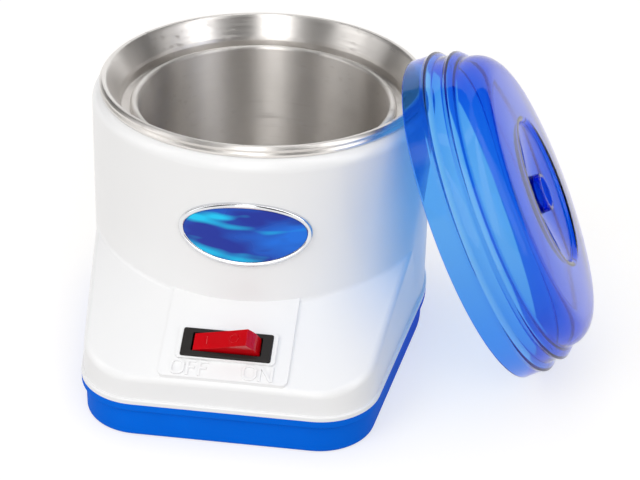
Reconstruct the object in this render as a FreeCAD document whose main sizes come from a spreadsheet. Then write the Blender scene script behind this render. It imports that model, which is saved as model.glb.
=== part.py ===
import FreeCAD, Part
import Sketcher
import math
import os

# Electric wax melter: a moulded housing on a tray, a steel collar and heated well,
# a lift-out bowl, a rocker switch on a sloping panel, and a domed lid leaning on the rim.
# Frame: millimetres, +Z up, the floor at z = 0, Z along the axis of the well,
# the panel facing -Y and the lid leaning on the +X side.

Vector = FreeCAD.Vector
Placement = FreeCAD.Placement
Rotation = FreeCAD.Rotation
UP = Vector(0, 0, 1)
ACROSS = Vector(1, 0, 0)
BACK = Vector(0, 1, 0)

doc = FreeCAD.newDocument("wax_melter")
sheet = doc.addObject("Spreadsheet::Sheet", "Sizes")


class Size:
    """A length or angle, and the sheet expression that it comes from."""

    def __init__(self, value, text):
        self.value = value
        self.text = text

    def __float__(self):
        return float(self.value)

    def __add__(self, other):
        return Size(self.value + float(other), "(%s + %s)" % (self.text, wording(other)))

    def __sub__(self, other):
        return Size(self.value - float(other), "(%s - %s)" % (self.text, wording(other)))

    def __mul__(self, other):
        return Size(self.value * float(other), "(%s * %s)" % (self.text, wording(other)))

    def __truediv__(self, other):
        return Size(self.value / float(other), "(%s / %s)" % (self.text, wording(other)))

    def __neg__(self):
        return Size(-self.value, "(-%s)" % self.text)


def wording(quantity):
    """The expression of a size, or the digits of a plain number."""
    if isinstance(quantity, Size):
        return quantity.text
    return repr(float(quantity))


sheet_rows = []


def size(name, value, meaning):
    """One driving dimension: a row of the sheet with its name, number and meaning."""
    sheet_rows.append(name)
    row = len(sheet_rows)
    sheet.set("A%d" % row, name)
    sheet.set("B%d" % row, str(value))
    sheet.set("C%d" % row, meaning)
    sheet.setAlias("B%d" % row, name)
    return Size(value, "Sizes.%s" % name)


# ---------------------------------------------------------------- driving dimensions

# Steel collar, well and bowl
shell_top_height = size("shell_top_height", 95.7, "floor to the housing's top face")
band_height = size("band_height", 3.8, "collar's band, from the housing's top to the rim")
rim_radius = size("rim_radius", 60.0, "outer radius of the steel collar")
rim_round = size("rim_round", 1.2, "rounding of the collar's rim")
rim_land = size("rim_land", 2.6, "width of the rim, outside the funnel")
funnel_run = size("funnel_run", 4.5, "how far the funnel leads in")
funnel_depth = size("funnel_depth", 8.3, "how far the funnel leads down")
throat_depth = size("throat_depth", 4.0, "upright wall between funnel and ledge")
ledge_width = size("ledge_width", 5.1, "width of the ledge that the bowl hangs on")
steel_wall = size("steel_wall", 1.0, "thickness of the collar and the well")
well_floor_height = size("well_floor_height", 25.0, "floor to the inside of the well")
well_floor_round = size("well_floor_round", 6.0, "radius at the well's floor")
bowl_side_gap = size("bowl_side_gap", 0.5, "gap between bowl and well")
bowl_wall = size("bowl_wall", 0.8, "wall of the bowl")
bowl_lip_reach = size("bowl_lip_reach", 1.9, "how far the rolled lip stands out")
bowl_lip_height = size("bowl_lip_height", 2.6, "height of the rolled lip")
bowl_floor_gap = size("bowl_floor_gap", 0.5, "gap under the bowl")
bowl_floor_round = size("bowl_floor_round", 7.0, "radius at the bowl's floor")
fit_gap = size("fit_gap", 0.3, "clearance between parts that slip together")

rim_height = shell_top_height + band_height
funnel_top_radius = rim_radius - rim_land
funnel_foot_radius = funnel_top_radius - funnel_run
funnel_foot_height = rim_height - funnel_depth
ledge_height = funnel_foot_height - throat_depth
well_radius = funnel_foot_radius - ledge_width
bowl_radius = well_radius - bowl_side_gap
bowl_lip_radius = bowl_radius + bowl_lip_reach

# Housing and tray
shoulder_reach = size("shoulder_reach", 2.8, "how far the housing's top stands out of the collar")
drum_flare = size("drum_flare", 2.0, "how far the drum widens down to the seam, bead included")
shoulder_round = size("shoulder_round", 4.5, "radius of the shoulder")
mouth_gap = size("mouth_gap", 0.2, "housing's mouth, wider than the funnel's top")
seam_height = size("seam_height", 14.2, "floor to the seam between tray and housing")
front_reach = size("front_reach", 93.8, "axis to the front edge, at the seam")
front_half_width = size("front_half_width", 50.2, "half width at the front, before rounding")
front_corner_round = size("front_corner_round", 22.2, "radius of the two front corners")
bead_proud = size("bead_proud", 0.8, "how far the housing's bottom bead stands out")
bead_height = size("bead_height", 1.8, "height of that bead")
shell_wall = size("shell_wall", 2.2, "wall of the housing")
plinth_draft = size("plinth_draft", 3.0, "degrees that the plinth's walls lean in")
plinth_height = size("plinth_height", 10.6, "seam to the panel's lower edge")
panel_slope = size("panel_slope", 27.6, "degrees of slope of the panel")
panel_crown_reach = size("panel_crown_reach", 25.2, "crown of the panel where it meets the drum, past the foot")
panel_edge_round = size("panel_edge_round", 3.0, "radius of the panel's outer edges")
crease_round = size("crease_round", 1.6, "fillet between panel and drum")
tray_inset = size("tray_inset", 1.5, "how far the tray's wall stands in under its lip")
tray_lip_height = size("tray_lip_height", 3.0, "height of the tray's lip")
tray_wall = size("tray_wall", 2.0, "wall of the tray")
tray_floor = size("tray_floor", 2.2, "floor of the tray")
tray_edge_round = size("tray_edge_round", 1.2, "rounding of the tray's lower edge")
tray_lip_round = size("tray_lip_round", 0.6, "rounding under the tray's lip")
rib_wall = size("rib_wall", 1.4, "locating rib inside the seam")
rib_rise = size("rib_rise", 3.0, "how far the rib reaches into the housing")
rib_root_depth = size("rib_root_depth", 6.0, "how far the rib reaches down the tray's wall")
vent_count = 8
vent_length = size("vent_length", 14.0, "vent slots in the tray's floor, length")
vent_width = size("vent_width", 2.4, "vent slots, width")
vent_circle = size("vent_circle", 21.0, "axis to the middle of a vent slot")

shell_top_radius = rim_radius + shoulder_reach
foot_radius = shell_top_radius + drum_flare
panel_crown_radius = foot_radius + panel_crown_reach
shell_mouth_radius = funnel_top_radius + mouth_gap
panel_edge_height = seam_height + plinth_height

# Heater
plate_margin = size("plate_margin", 5.8, "well's inner wall to the heater's edge")
mica_thickness = size("mica_thickness", 0.6, "thickness of a mica sheet")
ribbon_thickness = size("ribbon_thickness", 0.4, "thickness of the heating ribbon")
ribbon_width = size("ribbon_width", 2.4, "width of the heating ribbon")
ribbon_pitch = size("ribbon_pitch", 6.0, "spacing of the ribbon's rings")
ribbon_first = size("ribbon_first", 8.0, "radius of the innermost ring")
ribbon_slot = size("ribbon_slot", 6.0, "width of the slot across the rings")
ribbon_bridge = size("ribbon_bridge", 2.0, "width of the bridges between the rings")
pressure_plate_thickness = size("pressure_plate_thickness", 1.6, "plate that clamps the heater")
stud_radius = size("stud_radius", 2.5, "stud under the well")
stud_length = size("stud_length", 9.6, "length of that stud")
nut_radius = size("nut_radius", 4.6, "corner radius of its nut")
nut_height = size("nut_height", 4.0, "height of its nut")
terminal_radius = size("terminal_radius", 1.6, "radius of the heater's two terminals")
terminal_length = size("terminal_length", 6.0, "length of the heater's terminals")
terminal_clearance = size("terminal_clearance", 0.9, "clearance of the terminals in the plate")
shield_rise = size("shield_rise", 8.8, "tray's floor to the heat shield")
shield_thickness = size("shield_thickness", 0.8, "thickness of the heat shield")
shield_overhang = size("shield_overhang", 2.0, "how far the shield reaches past the heater")
shield_hole_radius = size("shield_hole_radius", 5.0, "hole in the middle of the shield")
shield_post_radius = size("shield_post_radius", 2.4, "posts that carry the shield")
shield_tip_radius = size("shield_tip_radius", 1.2, "tips of those posts, through the shield")
shield_tip_rise = size("shield_tip_rise", 0.8, "how far the tips stand out")
shield_post_inset = size("shield_post_inset", 9.0, "shield's edge to its posts")
thermostat_radius = size("thermostat_radius", 7.6, "radius of the thermostat's case")
thermostat_height = size("thermostat_height", 6.0, "height of the thermostat")
thermostat_offset = size("thermostat_offset", 20.0, "thermostat from the axis")
thermostat_edge = size("thermostat_edge", 0.8, "rounding of the thermostat's case")
ear_width = size("ear_width", 7.0, "width of the thermostat's ears")
ear_span = size("ear_span", 28.0, "span of the thermostat's ears")
ear_thickness = size("ear_thickness", 1.0, "thickness of the ears")
ear_screw_inset = size("ear_screw_inset", 3.2, "ear's end to its screw")
fuse_radius = size("fuse_radius", 1.9, "radius of the thermal fuse")
fuse_length = size("fuse_length", 12.0, "length of the thermal fuse")
fuse_offset = size("fuse_offset", 20.0, "fuse from the axis")
clip_width = size("clip_width", 10.0, "fuse clip, across")
clip_length = size("clip_length", 5.0, "fuse clip, along the fuse")
clip_wall = size("clip_wall", 0.9, "fuse clip, wall under the fuse")

plate_radius = well_radius - plate_margin
shield_height = tray_floor + shield_rise
shield_radius = plate_radius + shield_overhang
shield_post_circle = shield_radius - shield_post_inset

# Brackets, posts and screws
lug_height = size("lug_height", 38.0, "floor to the top of the housing's lugs")
lug_thickness = size("lug_thickness", 5.0, "thickness of those lugs")
lug_width = size("lug_width", 9.0, "width of lugs and brackets")
lug_gap = size("lug_gap", 3.2, "well to the lugs")
bracket_screw_reach = size("bracket_screw_reach", 7.7, "well to the bracket screws")
bracket_end = size("bracket_end", 4.0, "bracket's end past its screw")
bracket_rise = size("bracket_rise", 15.0, "height of a bracket's upright leg")
bracket_thickness = size("bracket_thickness", 1.0, "thickness of the brackets")
bracket_screw_depth = size("bracket_screw_depth", 4.0, "depth of a bracket screw in its lug")
screw_radius = size("screw_radius", 1.5, "shank of the self-tapping screws")
screw_head_radius = size("screw_head_radius", 3.0, "head of the screws")
screw_head_height = size("screw_head_height", 1.8, "height of the heads")
screw_slack = size("screw_slack", 0.05, "clearance round a shank")
screw_seat = size("screw_seat", 2.6, "floor to the seat of a tray screw's head")
post_radius = size("post_radius", 4.2, "screw posts of the housing")
post_foot = size("post_foot", 5.0, "floor to the feet of the screw posts")
post_slack = size("post_slack", 0.4, "clearance of the rib round a post")
back_post_top = size("back_post_top", 30.0, "floor to the top of the back posts")
gusset_width = size("gusset_width", 3.0, "web between a back post and the wall")
post_screw_length = size("post_screw_length", 12.4, "shank of the tray screws")
front_post_side = size("front_post_side", 13.2, "front posts from the front's ends")
front_post_back = size("front_post_back", 23.8, "front posts from the front edge")
back_post_inset = size("back_post_inset", 8.9, "back posts from the round back")
back_post_turn = size("back_post_turn", 42.8, "degrees of the back posts behind the sides")
pad_radius = size("pad_radius", 6.5, "rubber pads under the tray")
pad_depth = size("pad_depth", 1.0, "how deep the pads are let in")
front_pad_side = size("front_pad_side", 14.2, "front pads from the front's ends")
front_pad_back = size("front_pad_back", 37.8, "front pads from the front edge")
back_pad_inset = size("back_pad_inset", 19.2, "back pads from the round back")
back_pad_turn = size("back_pad_turn", 37.9, "degrees of the back pads behind the sides")

well_outer = well_radius + steel_wall
bracket_screw_circle = well_outer + bracket_screw_reach
front_post_x = front_half_width - front_post_side
front_post_y = front_reach - front_post_back
front_pad_x = front_half_width - front_pad_side
front_pad_y = front_reach - front_pad_back

# Switch
switch_setback = size("switch_setback", 14.36, "front edge to the switch's centre, measured level")
pad_half_width = size("pad_half_width", 22.4, "half width of the raised pad")
pad_setback = size("pad_setback", 2.4, "front edge to the pad's lower edge")
pad_raise = size("pad_raise", 1.0, "height of the raised pad")
pad_corner = size("pad_corner", 2.0, "rounding of the pad's lower corners")
switch_body_width = size("switch_body_width", 27.4, "switch body, across")
switch_body_depth = size("switch_body_depth", 9.4, "switch body, up the slope")
switch_body_height = size("switch_body_height", 15.0, "switch body, below the bezel")
bezel_side = size("bezel_side", 1.95, "bezel past the body at each end")
bezel_edge = size("bezel_edge", 0.7, "bezel past the body above and below")
bezel_thickness = size("bezel_thickness", 1.6, "thickness of the bezel")
bezel_corner = size("bezel_corner", 0.8, "rounding of the bezel's corners")
bezel_rim = size("bezel_rim", 0.5, "rounding of the bezel's front edge")
frame_border = size("frame_border", 0.8, "raised border above and below the bezel")
frame_side = size("frame_side", 1.65, "raised border at the bezel's ends")
frame_raise = size("frame_raise", 0.9, "height of that border")
frame_corner = size("frame_corner", 1.4, "rounding of the border's corners")
frame_bury = size("frame_bury", 2.0, "how far the border's body reaches into the panel")
latch_top = size("latch_top", 4.2, "panel's pad to the switch's latches")
latch_length = size("latch_length", 4.3, "length of a latch")
latch_width = size("latch_width", 5.0, "width of a latch")
latch_proud = size("latch_proud", 0.9, "how far a latch stands out")
switch_end_wall = size("switch_end_wall", 1.5, "end walls round the rocker")
switch_side_wall = size("switch_side_wall", 1.1, "side walls beside the rocker")
window_drop = size("window_drop", 11.0, "depth of the space for the rocker")
window_corner = size("window_corner", 0.5, "rounding of the window's corners")
rocker_gap = size("rocker_gap", 0.38, "clearance round the rocker")
rocker_angle = size("rocker_angle", 19.0, "degrees of tilt each way from level")
rocker_face_angle = size("rocker_face_angle", 1.0, "degrees of each face of the rocker's valley")
rocker_crest = size("rocker_crest", 3.2, "rocker's valley above the bezel's face")
rocker_skirt = size("rocker_skirt", 2.4, "rocker's side walls below its pin")
rocker_wall = size("rocker_wall", 1.2, "wall of the rocker")
pin_radius = size("pin_radius", 0.9, "radius of the rocker's pin")
pin_gap = size("pin_gap", 0.06, "running clearance of the pin")
pin_drop = size("pin_drop", 3.0, "pin below the bezel's face")
blade_width = size("blade_width", 4.8, "switch terminals, width")
blade_thickness = size("blade_thickness", 0.8, "switch terminals, thickness")
blade_length = size("blade_length", 7.0, "switch terminals, length")
blade_pitch = size("blade_pitch", 9.0, "spacing of the terminals")
lamp_radius = size("lamp_radius", 1.4, "radius of the neon lamp")
lamp_length = size("lamp_length", 7.0, "length of the neon lamp")
letter_height = size("letter_height", 5.8, "height of the raised letters")
letter_width = size("letter_width", 5.0, "width of the O and the N")
letter_narrow = size("letter_narrow", 3.4, "width of the F")
letter_space = size("letter_space", 0.7, "space between letters")
letter_off_centre = size("letter_off_centre", 11.9, "middle of each word from the panel's middle")
letter_stroke = size("letter_stroke", 0.8, "stroke of the raised letters")
letter_raise = size("letter_raise", 0.5, "height that the letters stand out")
letter_root = size("letter_root", 1.0, "how far the letters reach into the panel")
letter_gap = size("letter_gap", 0.4, "border to the top of the letters")

switch_reach = front_reach - switch_setback
pad_front_reach = front_reach - pad_setback
bezel_width = switch_body_width + bezel_side * 2
bezel_depth = switch_body_depth + bezel_edge * 2
frame_width = bezel_width + frame_side * 2
frame_depth = bezel_depth + frame_border * 2
window_width = switch_body_width - switch_end_wall * 2
window_depth = switch_body_depth - switch_side_wall * 2

# Badge
badge_width = size("badge_width", 46.6, "badge, straight across")
badge_height = size("badge_height", 24.6, "badge, tall")
badge_drop = size("badge_drop", 27.9, "housing's top to the badge's centre")
badge_turn = size("badge_turn", 2.8, "degrees that the badge sits to the right")
badge_proud = size("badge_proud", 1.5, "how far the badge's ring stands out")
badge_ring_width = size("badge_ring_width", 1.9, "width of the badge's ring")
badge_sink = size("badge_sink", 0.5, "how far the inlay lies below the ring")
badge_centre_height = shell_top_height - badge_drop

# Cord inlet, terminal block and wiring
inlet_rise = size("inlet_rise", 9.8, "seam to the cord inlet's axis")
inlet_bore_radius = size("inlet_bore_radius", 3.6, "bore of the rubber gland")
gland_radius = size("gland_radius", 5.2, "gland where it passes the wall")
gland_flange_reach = size("gland_flange_reach", 2.0, "how far the flanges stand out of the neck")
gland_flange = size("gland_flange", 1.8, "thickness of the gland's flanges")
gland_nose = size("gland_nose", 3.6, "how far the gland's nose stands out")
gland_nose_start = size("gland_nose_start", 0.8, "nose wider than the neck at its root")
gland_nose_taper = size("gland_nose_taper", 1.2, "how much the nose narrows")
block_length = size("block_length", 26.0, "terminal block, across")
block_depth = size("block_depth", 12.0, "terminal block, front to back")
block_height = size("block_height", 8.0, "terminal block, tall")
block_setback = size("block_setback", 23.44, "switch's centre to the terminal block's centre")
block_pitch = size("block_pitch", 8.0, "spacing of the block's screws")
block_screw_radius = size("block_screw_radius", 1.6, "radius of the block's screw holes")
block_screw_depth = size("block_screw_depth", 3.0, "depth of the block's screw holes")
block_row = size("block_row", 3.0, "screws and wires from the block's middle")
lead_radius = size("lead_radius", 1.1, "radius of the internal leads")
lead_stub = size("lead_stub", 4.0, "straight end of a lead at the block and the switch")
inlet_height = seam_height + inlet_rise
gland_flange_radius = gland_radius + gland_flange_reach
block_reach = switch_reach - block_setback

# Lid
lid_overhang = size("lid_overhang", 1.8, "lid's open edge past the collar")
lid_wall = size("lid_wall", 1.2, "wall of the lid")
lid_skirt_height = size("lid_skirt_height", 6.8, "height of the lid's skirt")
lid_skirt_taper = size("lid_skirt_taper", 0.5, "how much the skirt narrows")
lid_bead_one_rise = size("lid_bead_one_rise", 1.6, "skirt to the first bead")
lid_bead_one_proud = size("lid_bead_one_proud", 0.7, "first bead past the skirt's top")
lid_step = size("lid_step", 1.8, "height of the steps above and below the band")
lid_band_set_in = size("lid_band_set_in", 2.7, "band between the beads, in from the first bead")
lid_band_height = size("lid_band_height", 3.4, "height of the band between the beads")
lid_band_taper = size("lid_band_taper", 0.6, "how much that band narrows")
lid_bead_two_proud = size("lid_bead_two_proud", 0.9, "second bead past the band")
lid_bead_two_fall = size("lid_bead_two_fall", 1.8, "second bead's upper flank, in")
dome_set_in = size("dome_set_in", 3.6, "dome's side, in from the second bead")
dome_start = size("dome_start", 3.0, "second bead to the dome's side")
dome_rise = size("dome_rise", 12.3, "second bead to the top of the dome's side")
dome_round = size("dome_round", 9.8, "radius of the dome's shoulder")
crown_rise = size("crown_rise", 2.3, "rise of the dome's top, from its side to the dish")
dish_edge = size("dish_edge", 28.8, "dome's side to the dish in the lid's top")
dish_step = size("dish_step", 2.0, "steep step at the dish's edge")
dish_step_run = size("dish_step_run", 0.8, "how far that step leads in")
dish_depth = size("dish_depth", 5.5, "depth of the dish at the knob")
knob_radius = size("knob_radius", 7.3, "radius of the knob")
knob_height = size("knob_height", 4.6, "height of the knob")
knob_wall = size("knob_wall", 1.6, "wall of the knob")
knob_floor = size("knob_floor", 1.4, "floor of the knob's hollow")
knob_seat_margin = size("knob_seat_margin", 1.2, "flat seat round the knob")
lid_touch_margin = size("lid_touch_margin", 9.7, "where the rim meets the lid, below its top edge")
lid_yaw = size("lid_yaw", 1.0, "degrees that the lid is turned to the front")
lid_aside = size("lid_aside", -12.4, "lid's centre beside the pot's, along its rim")
lid_rest_gap = size("lid_rest_gap", 0.5, "gap between leaning lid and collar")
lid_radius = rim_radius + lid_overhang
lid_skirt_radius = lid_radius - lid_skirt_taper
lid_bead_one_radius = lid_skirt_radius + lid_bead_one_proud
lid_bead_one_height = lid_skirt_height + lid_bead_one_rise
lid_band_radius = lid_bead_one_radius - lid_band_set_in
lid_bead_two_height = lid_bead_one_height + lid_step + lid_band_height + lid_step
lid_bead_two_radius = lid_band_radius - lid_band_taper + lid_bead_two_proud
dome_radius = lid_bead_two_radius - dome_set_in
dome_height = lid_bead_two_height + dome_rise
dish_radius = dome_radius - dish_edge
dish_edge_height = dome_height + crown_rise

doc.recompute()


# ---------------------------------------------------------------- ways of making a piece

def origin_plane(body, role):
    """One of a body's own origin planes."""
    return next(plane for plane in body.Origin.OriginFeatures if plane.Role == role)


def fix_place(section, line, direction, quantity):
    """Ties the start of a section's line to a size, or to an axis where that size is nought."""
    if not isinstance(quantity, Size):
        axis = -2 if direction == "DistanceX" else -1
        section.addConstraint(Sketcher.Constraint("PointOnObject", line, 1, axis))
        return
    index = section.addConstraint(
        Sketcher.Constraint(direction, -1, 1, line, 1, float(quantity)))
    section.setExpression("Constraints[%d]" % index, quantity.text)


def draw_outline(section, corners):
    """A closed outline whose corners are tied to the sheet."""
    count = len(corners)
    places = [Vector(float(x), float(y), 0) for x, y in corners]
    for line in range(count):
        ends = (places[line], places[(line + 1) % count])
        section.addGeometry(Part.LineSegment(*ends), False)
    for line in range(count):
        section.addConstraint(Sketcher.Constraint("Coincident", line, 2, (line + 1) % count, 1))
    for line, (x, y) in enumerate(corners):
        fix_place(section, line, "DistanceX", x)
        fix_place(section, line, "DistanceY", y)


def turned(label, corners):
    """A spun or turned piece: a section in radius and height, swung round Z."""
    body = doc.addObject("PartDesign::Body", label)
    body.Label = label
    section = body.newObject("Sketcher::SketchObject", label + "_section")
    section.AttachmentSupport = [(origin_plane(body, "XZ_Plane"), "")]
    section.MapMode = "FlatFace"
    draw_outline(section, corners)
    turn = body.newObject("PartDesign::Revolution", label + "_turn")
    turn.Profile = section
    turn.ReferenceAxis = (section, ["V_Axis"])
    turn.Angle = 360
    body.Tip = turn
    doc.recompute()
    return body


def round_rims(body, name, radius, *rims):
    """Rounds the circular edges of a turned piece that lie at the given radius and height."""
    base = body.Tip
    edges = []
    for number, edge in enumerate(base.Shape.Edges, 1):
        if not isinstance(edge.Curve, Part.Circle):
            continue
        for rim, height in rims:
            near_rim = abs(edge.Curve.Radius - float(rim)) < 0.01
            if near_rim and abs(edge.Curve.Center.z - float(height)) < 0.01:
                edges.append("Edge%d" % number)
    fillet = body.newObject("PartDesign::Fillet", name)
    fillet.Base = (base, edges)
    fillet.setExpression("Radius", radius.text)
    body.Tip = fillet
    doc.recompute()


def bored(body, name, radius, places):
    """Drills round holes through a turned piece, along Z."""
    section = body.newObject("Sketcher::SketchObject", name + "_section")
    section.AttachmentSupport = [(origin_plane(body, "XY_Plane"), "")]
    section.MapMode = "FlatFace"
    for number, (x, y) in enumerate(places):
        centre = Vector(float(x), float(y), 0)
        section.addGeometry(Part.Circle(centre, UP, float(radius)), False)
        index = section.addConstraint(Sketcher.Constraint("Radius", number, float(radius)))
        section.setExpression("Constraints[%d]" % index, wording(radius))
        section.addConstraint(Sketcher.Constraint("DistanceX", -1, 1, number, 3, float(x)))
        section.addConstraint(Sketcher.Constraint("DistanceY", -1, 1, number, 3, float(y)))
    pocket = body.newObject("PartDesign::Pocket", name)
    pocket.Profile = section
    pocket.Type = "ThroughAll"
    pocket.Midplane = True
    body.Tip = pocket
    doc.recompute()


def shaped(label, shape):
    """A piece whose shape is worked out directly."""
    feature = doc.addObject("Part::Feature", label)
    feature.Label = label
    feature.Shape = shape
    return feature


def primitive(kind, label, **sizes):
    """A Part primitive whose dimensions are tied to the sheet."""
    feature = doc.addObject("Part::" + kind, label)
    feature.Label = label
    for name, quantity in sizes.items():
        feature.setExpression(name, wording(quantity))
    return feature


def rod(radius, length, place=Vector(), direction=UP):
    return Part.makeCylinder(float(radius), float(length), place, direction)


def block_on(centre_x, centre_y, low, width, depth, height):
    """A box centred in plan, standing on a height."""
    corner = Vector(float(centre_x) - float(width) / 2, float(centre_y) - float(depth) / 2, float(low))
    return Part.makeBox(float(width), float(depth), float(height), corner)


def turned_about_z(shape, degrees):
    copy = shape.copy()
    copy.rotate(Vector(), UP, degrees)
    return copy


def polar(radius, degrees):
    angle = math.radians(degrees)
    return float(radius) * math.cos(angle), float(radius) * math.sin(angle)


# ---------------------------------------------------------------- outline of housing and tray

# Seen from above, the outline is a round back with two straight sides that run from it,
# tangent, to a straight front with rounded corners.
corner_distance = math.hypot(float(front_half_width), float(front_reach))
side_lean = math.asin(float(foot_radius) / corner_distance) - math.atan2(
    float(front_half_width), float(front_reach))


def front_corner(inset):
    """The right front corner, before rounding, of the outline drawn in by inset."""
    y = -(float(front_reach) - inset)
    x = float(front_half_width) + math.tan(side_lean) * inset - inset / math.cos(side_lean)
    return x, y


def seam_outline(inset, height):
    """The closed outline, drawn in by inset, as a wire at a height."""
    back = float(foot_radius) - inset
    corner = max(float(front_corner_round) - inset, 1.0)
    corner_x, corner_y = front_corner(inset)
    reach = corner * math.tan((math.pi / 2 - side_lean) / 2)
    front_end = Vector(corner_x - reach, corner_y, height)
    side_start = Vector(corner_x + reach * math.sin(side_lean),
                        corner_y + reach * math.cos(side_lean), height)
    centre = Vector(front_end.x, corner_y + corner, height)
    middle_angle = -math.pi / 4 - side_lean / 2
    middle = centre + Vector(math.cos(middle_angle), math.sin(middle_angle), 0) * corner
    side_end = Vector(back * math.cos(side_lean), -back * math.sin(side_lean), height)

    def mirrored(point):
        return Vector(-point.x, point.y, point.z)

    edges = [
        Part.LineSegment(mirrored(front_end), front_end),
        Part.Arc(front_end, middle, side_start),
        Part.LineSegment(side_start, side_end),
        Part.Arc(side_end, Vector(0, back, height), mirrored(side_end)),
        Part.LineSegment(mirrored(side_end), mirrored(side_start)),
        Part.Arc(mirrored(side_start), mirrored(middle), mirrored(front_end)),
    ]
    return Part.Wire([edge.toShape() for edge in edges])


def slab(inset, low, high):
    """The outline, drawn in by inset, as a solid between two heights."""
    face = Part.Face(seam_outline(inset, float(low)))
    return face.extrude(UP * (float(high) - float(low)))


# ---------------------------------------------------------------- housing

slope = math.tan(math.radians(float(panel_slope)))
panel_turn = Rotation(ACROSS, float(panel_slope))
panel_up = panel_turn.multVec(BACK)
panel_out = panel_turn.multVec(UP)
panel_foot_y = -float(front_reach) + float(bead_proud) + math.tan(
    math.radians(float(plinth_draft))) * (float(panel_edge_height) - float(seam_height))


def drum(inset):
    """The round part of the housing, slightly tapered, from the seam to its top."""
    low = float(foot_radius) - float(bead_proud) - inset
    high = float(shell_top_radius) - inset
    height = float(shell_top_height) - inset - float(seam_height)
    solid = Part.makeCone(low, high, height, Vector(0, 0, float(seam_height)))
    rim = [edge for edge in solid.Edges
           if isinstance(edge.Curve, Part.Circle) and edge.Curve.Center.z > float(seam_height) + 1]
    return solid.makeFillet(max(float(shoulder_round) - inset, 1.0), rim)


def plinth_walls(inset):
    """The plinth's front and sides, leaning in, ending inside the drum."""
    base = float(bead_proud) + inset
    lean = math.tan(math.radians(float(plinth_draft)))
    rise = float(shell_top_height) - float(seam_height)

    def ring(extra, height):
        corner_x, corner_y = front_corner(base + extra)
        corner = max(float(front_corner_round) - base, 1.0)
        reach = corner * math.tan((math.pi / 2 - side_lean) / 2)
        bury = float(foot_radius) - base - extra - 0.1
        front_end = Vector(corner_x - reach, corner_y, height)
        side_start = Vector(corner_x + reach * math.sin(side_lean),
                            corner_y + reach * math.cos(side_lean), height)
        centre = Vector(front_end.x, corner_y + corner, height)
        angle = -math.pi / 4 - side_lean / 2
        middle = centre + Vector(math.cos(angle), math.sin(angle), 0) * corner
        side_end = Vector(bury * math.cos(side_lean), -bury * math.sin(side_lean), height)
        left = [Vector(-point.x, point.y, height) for point in (front_end, middle, side_start, side_end)]
        edges = [
            Part.LineSegment(left[0], front_end),
            Part.Arc(front_end, middle, side_start),
            Part.LineSegment(side_start, side_end),
            Part.LineSegment(side_end, left[3]),
            Part.LineSegment(left[3], left[2]),
            Part.Arc(left[2], left[1], left[0]),
        ]
        return Part.Wire([edge.toShape() for edge in edges])

    bottom = ring(0.0, float(seam_height))
    top = ring(lean * rise, float(shell_top_height))
    return Part.makeLoft([bottom, top], True, True)


def panel_wedge(drop):
    """Everything under the panel: flat and straight at its foot, crowned towards the drum."""
    side_margin = 20.0
    half = float(foot_radius) + side_margin
    far_y = 10.0
    crown = float(panel_crown_radius)
    ahead = 3.0
    foot_z = float(panel_edge_height) - drop / math.cos(math.radians(float(panel_slope)))
    near_z = foot_z - slope * ahead
    far_z = foot_z + slope * (far_y - panel_foot_y)
    side_z = far_z - (crown - math.sqrt(crown * crown - half * half))
    low = -60.0
    near_y = panel_foot_y - ahead
    near = Part.makePolygon([Vector(-half, near_y, low), Vector(half, near_y, low),
                             Vector(half, near_y, near_z), Vector(-half, near_y, near_z),
                             Vector(-half, near_y, low)])
    far = Part.Wire([
        Part.LineSegment(Vector(-half, far_y, low), Vector(half, far_y, low)).toShape(),
        Part.LineSegment(Vector(half, far_y, low), Vector(half, far_y, side_z)).toShape(),
        Part.Arc(Vector(half, far_y, side_z), Vector(0, far_y, far_z),
                 Vector(-half, far_y, side_z)).toShape(),
        Part.LineSegment(Vector(-half, far_y, side_z), Vector(-half, far_y, low)).toShape(),
    ])
    return Part.makeLoft([near, far], True, True)


def plinth(inset, edge_round):
    """The plinth: its walls under the panel's surface, with its upper edges rounded."""
    solid = plinth_walls(inset).common(panel_wedge(inset))
    if edge_round <= 0:
        return solid
    top_edges = []
    for edge in solid.Edges:
        middle = edge.valueAt((edge.FirstParameter + edge.LastParameter) / 2)
        on_top = middle.z > float(panel_edge_height) - 2.0
        in_front = middle.y < -12.0
        outside = math.hypot(middle.x, middle.y) > float(foot_radius) - 3.0
        level = edge.BoundBox.ZLength < edge.Length * 0.9
        if on_top and in_front and outside and level:
            top_edges.append(edge)
    return solid.makeFillet(edge_round, top_edges)


outer = drum(0.0).fuse(plinth(0.0, float(panel_edge_round))).removeSplitter()
creases = []
for edge in outer.Edges:
    middle = edge.valueAt((edge.FirstParameter + edge.LastParameter) / 2)
    share = middle.z / float(shell_top_height)
    on_drum = abs(math.hypot(middle.x, middle.y) - float(foot_radius)) < 2.5
    ahead = middle.y < -0.6 * float(foot_radius)
    if on_drum and ahead and edge.Length > 0.75 * float(foot_radius) and 0.31 < share < 0.63:
        creases.append(edge)
outer = outer.makeFillet(float(crease_round), creases)

# The panel's own frame: its origin on the raised pad under the middle of the switch,
# X across, Y up the slope, Z out of the panel.
seat = Vector(0, -float(switch_reach), float(panel_edge_height) + slope * (
    -float(switch_reach) - panel_foot_y)) + panel_out * float(pad_raise)
panel_place = Placement(seat, panel_turn)


def on_panel(shape):
    """Moves a shape from the panel's own frame to its place."""
    shape.Placement = panel_place.multiply(shape.Placement)
    return shape


def eased_block(centre_x, centre_y, low, width, depth, height, corner):
    """A box whose upright edges are rounded."""
    solid = block_on(centre_x, centre_y, low, width, depth, height)
    upright = [edge for edge in solid.Edges if edge.BoundBox.ZLength > float(height) / 2]
    return solid.makeFillet(float(corner), upright)


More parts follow.
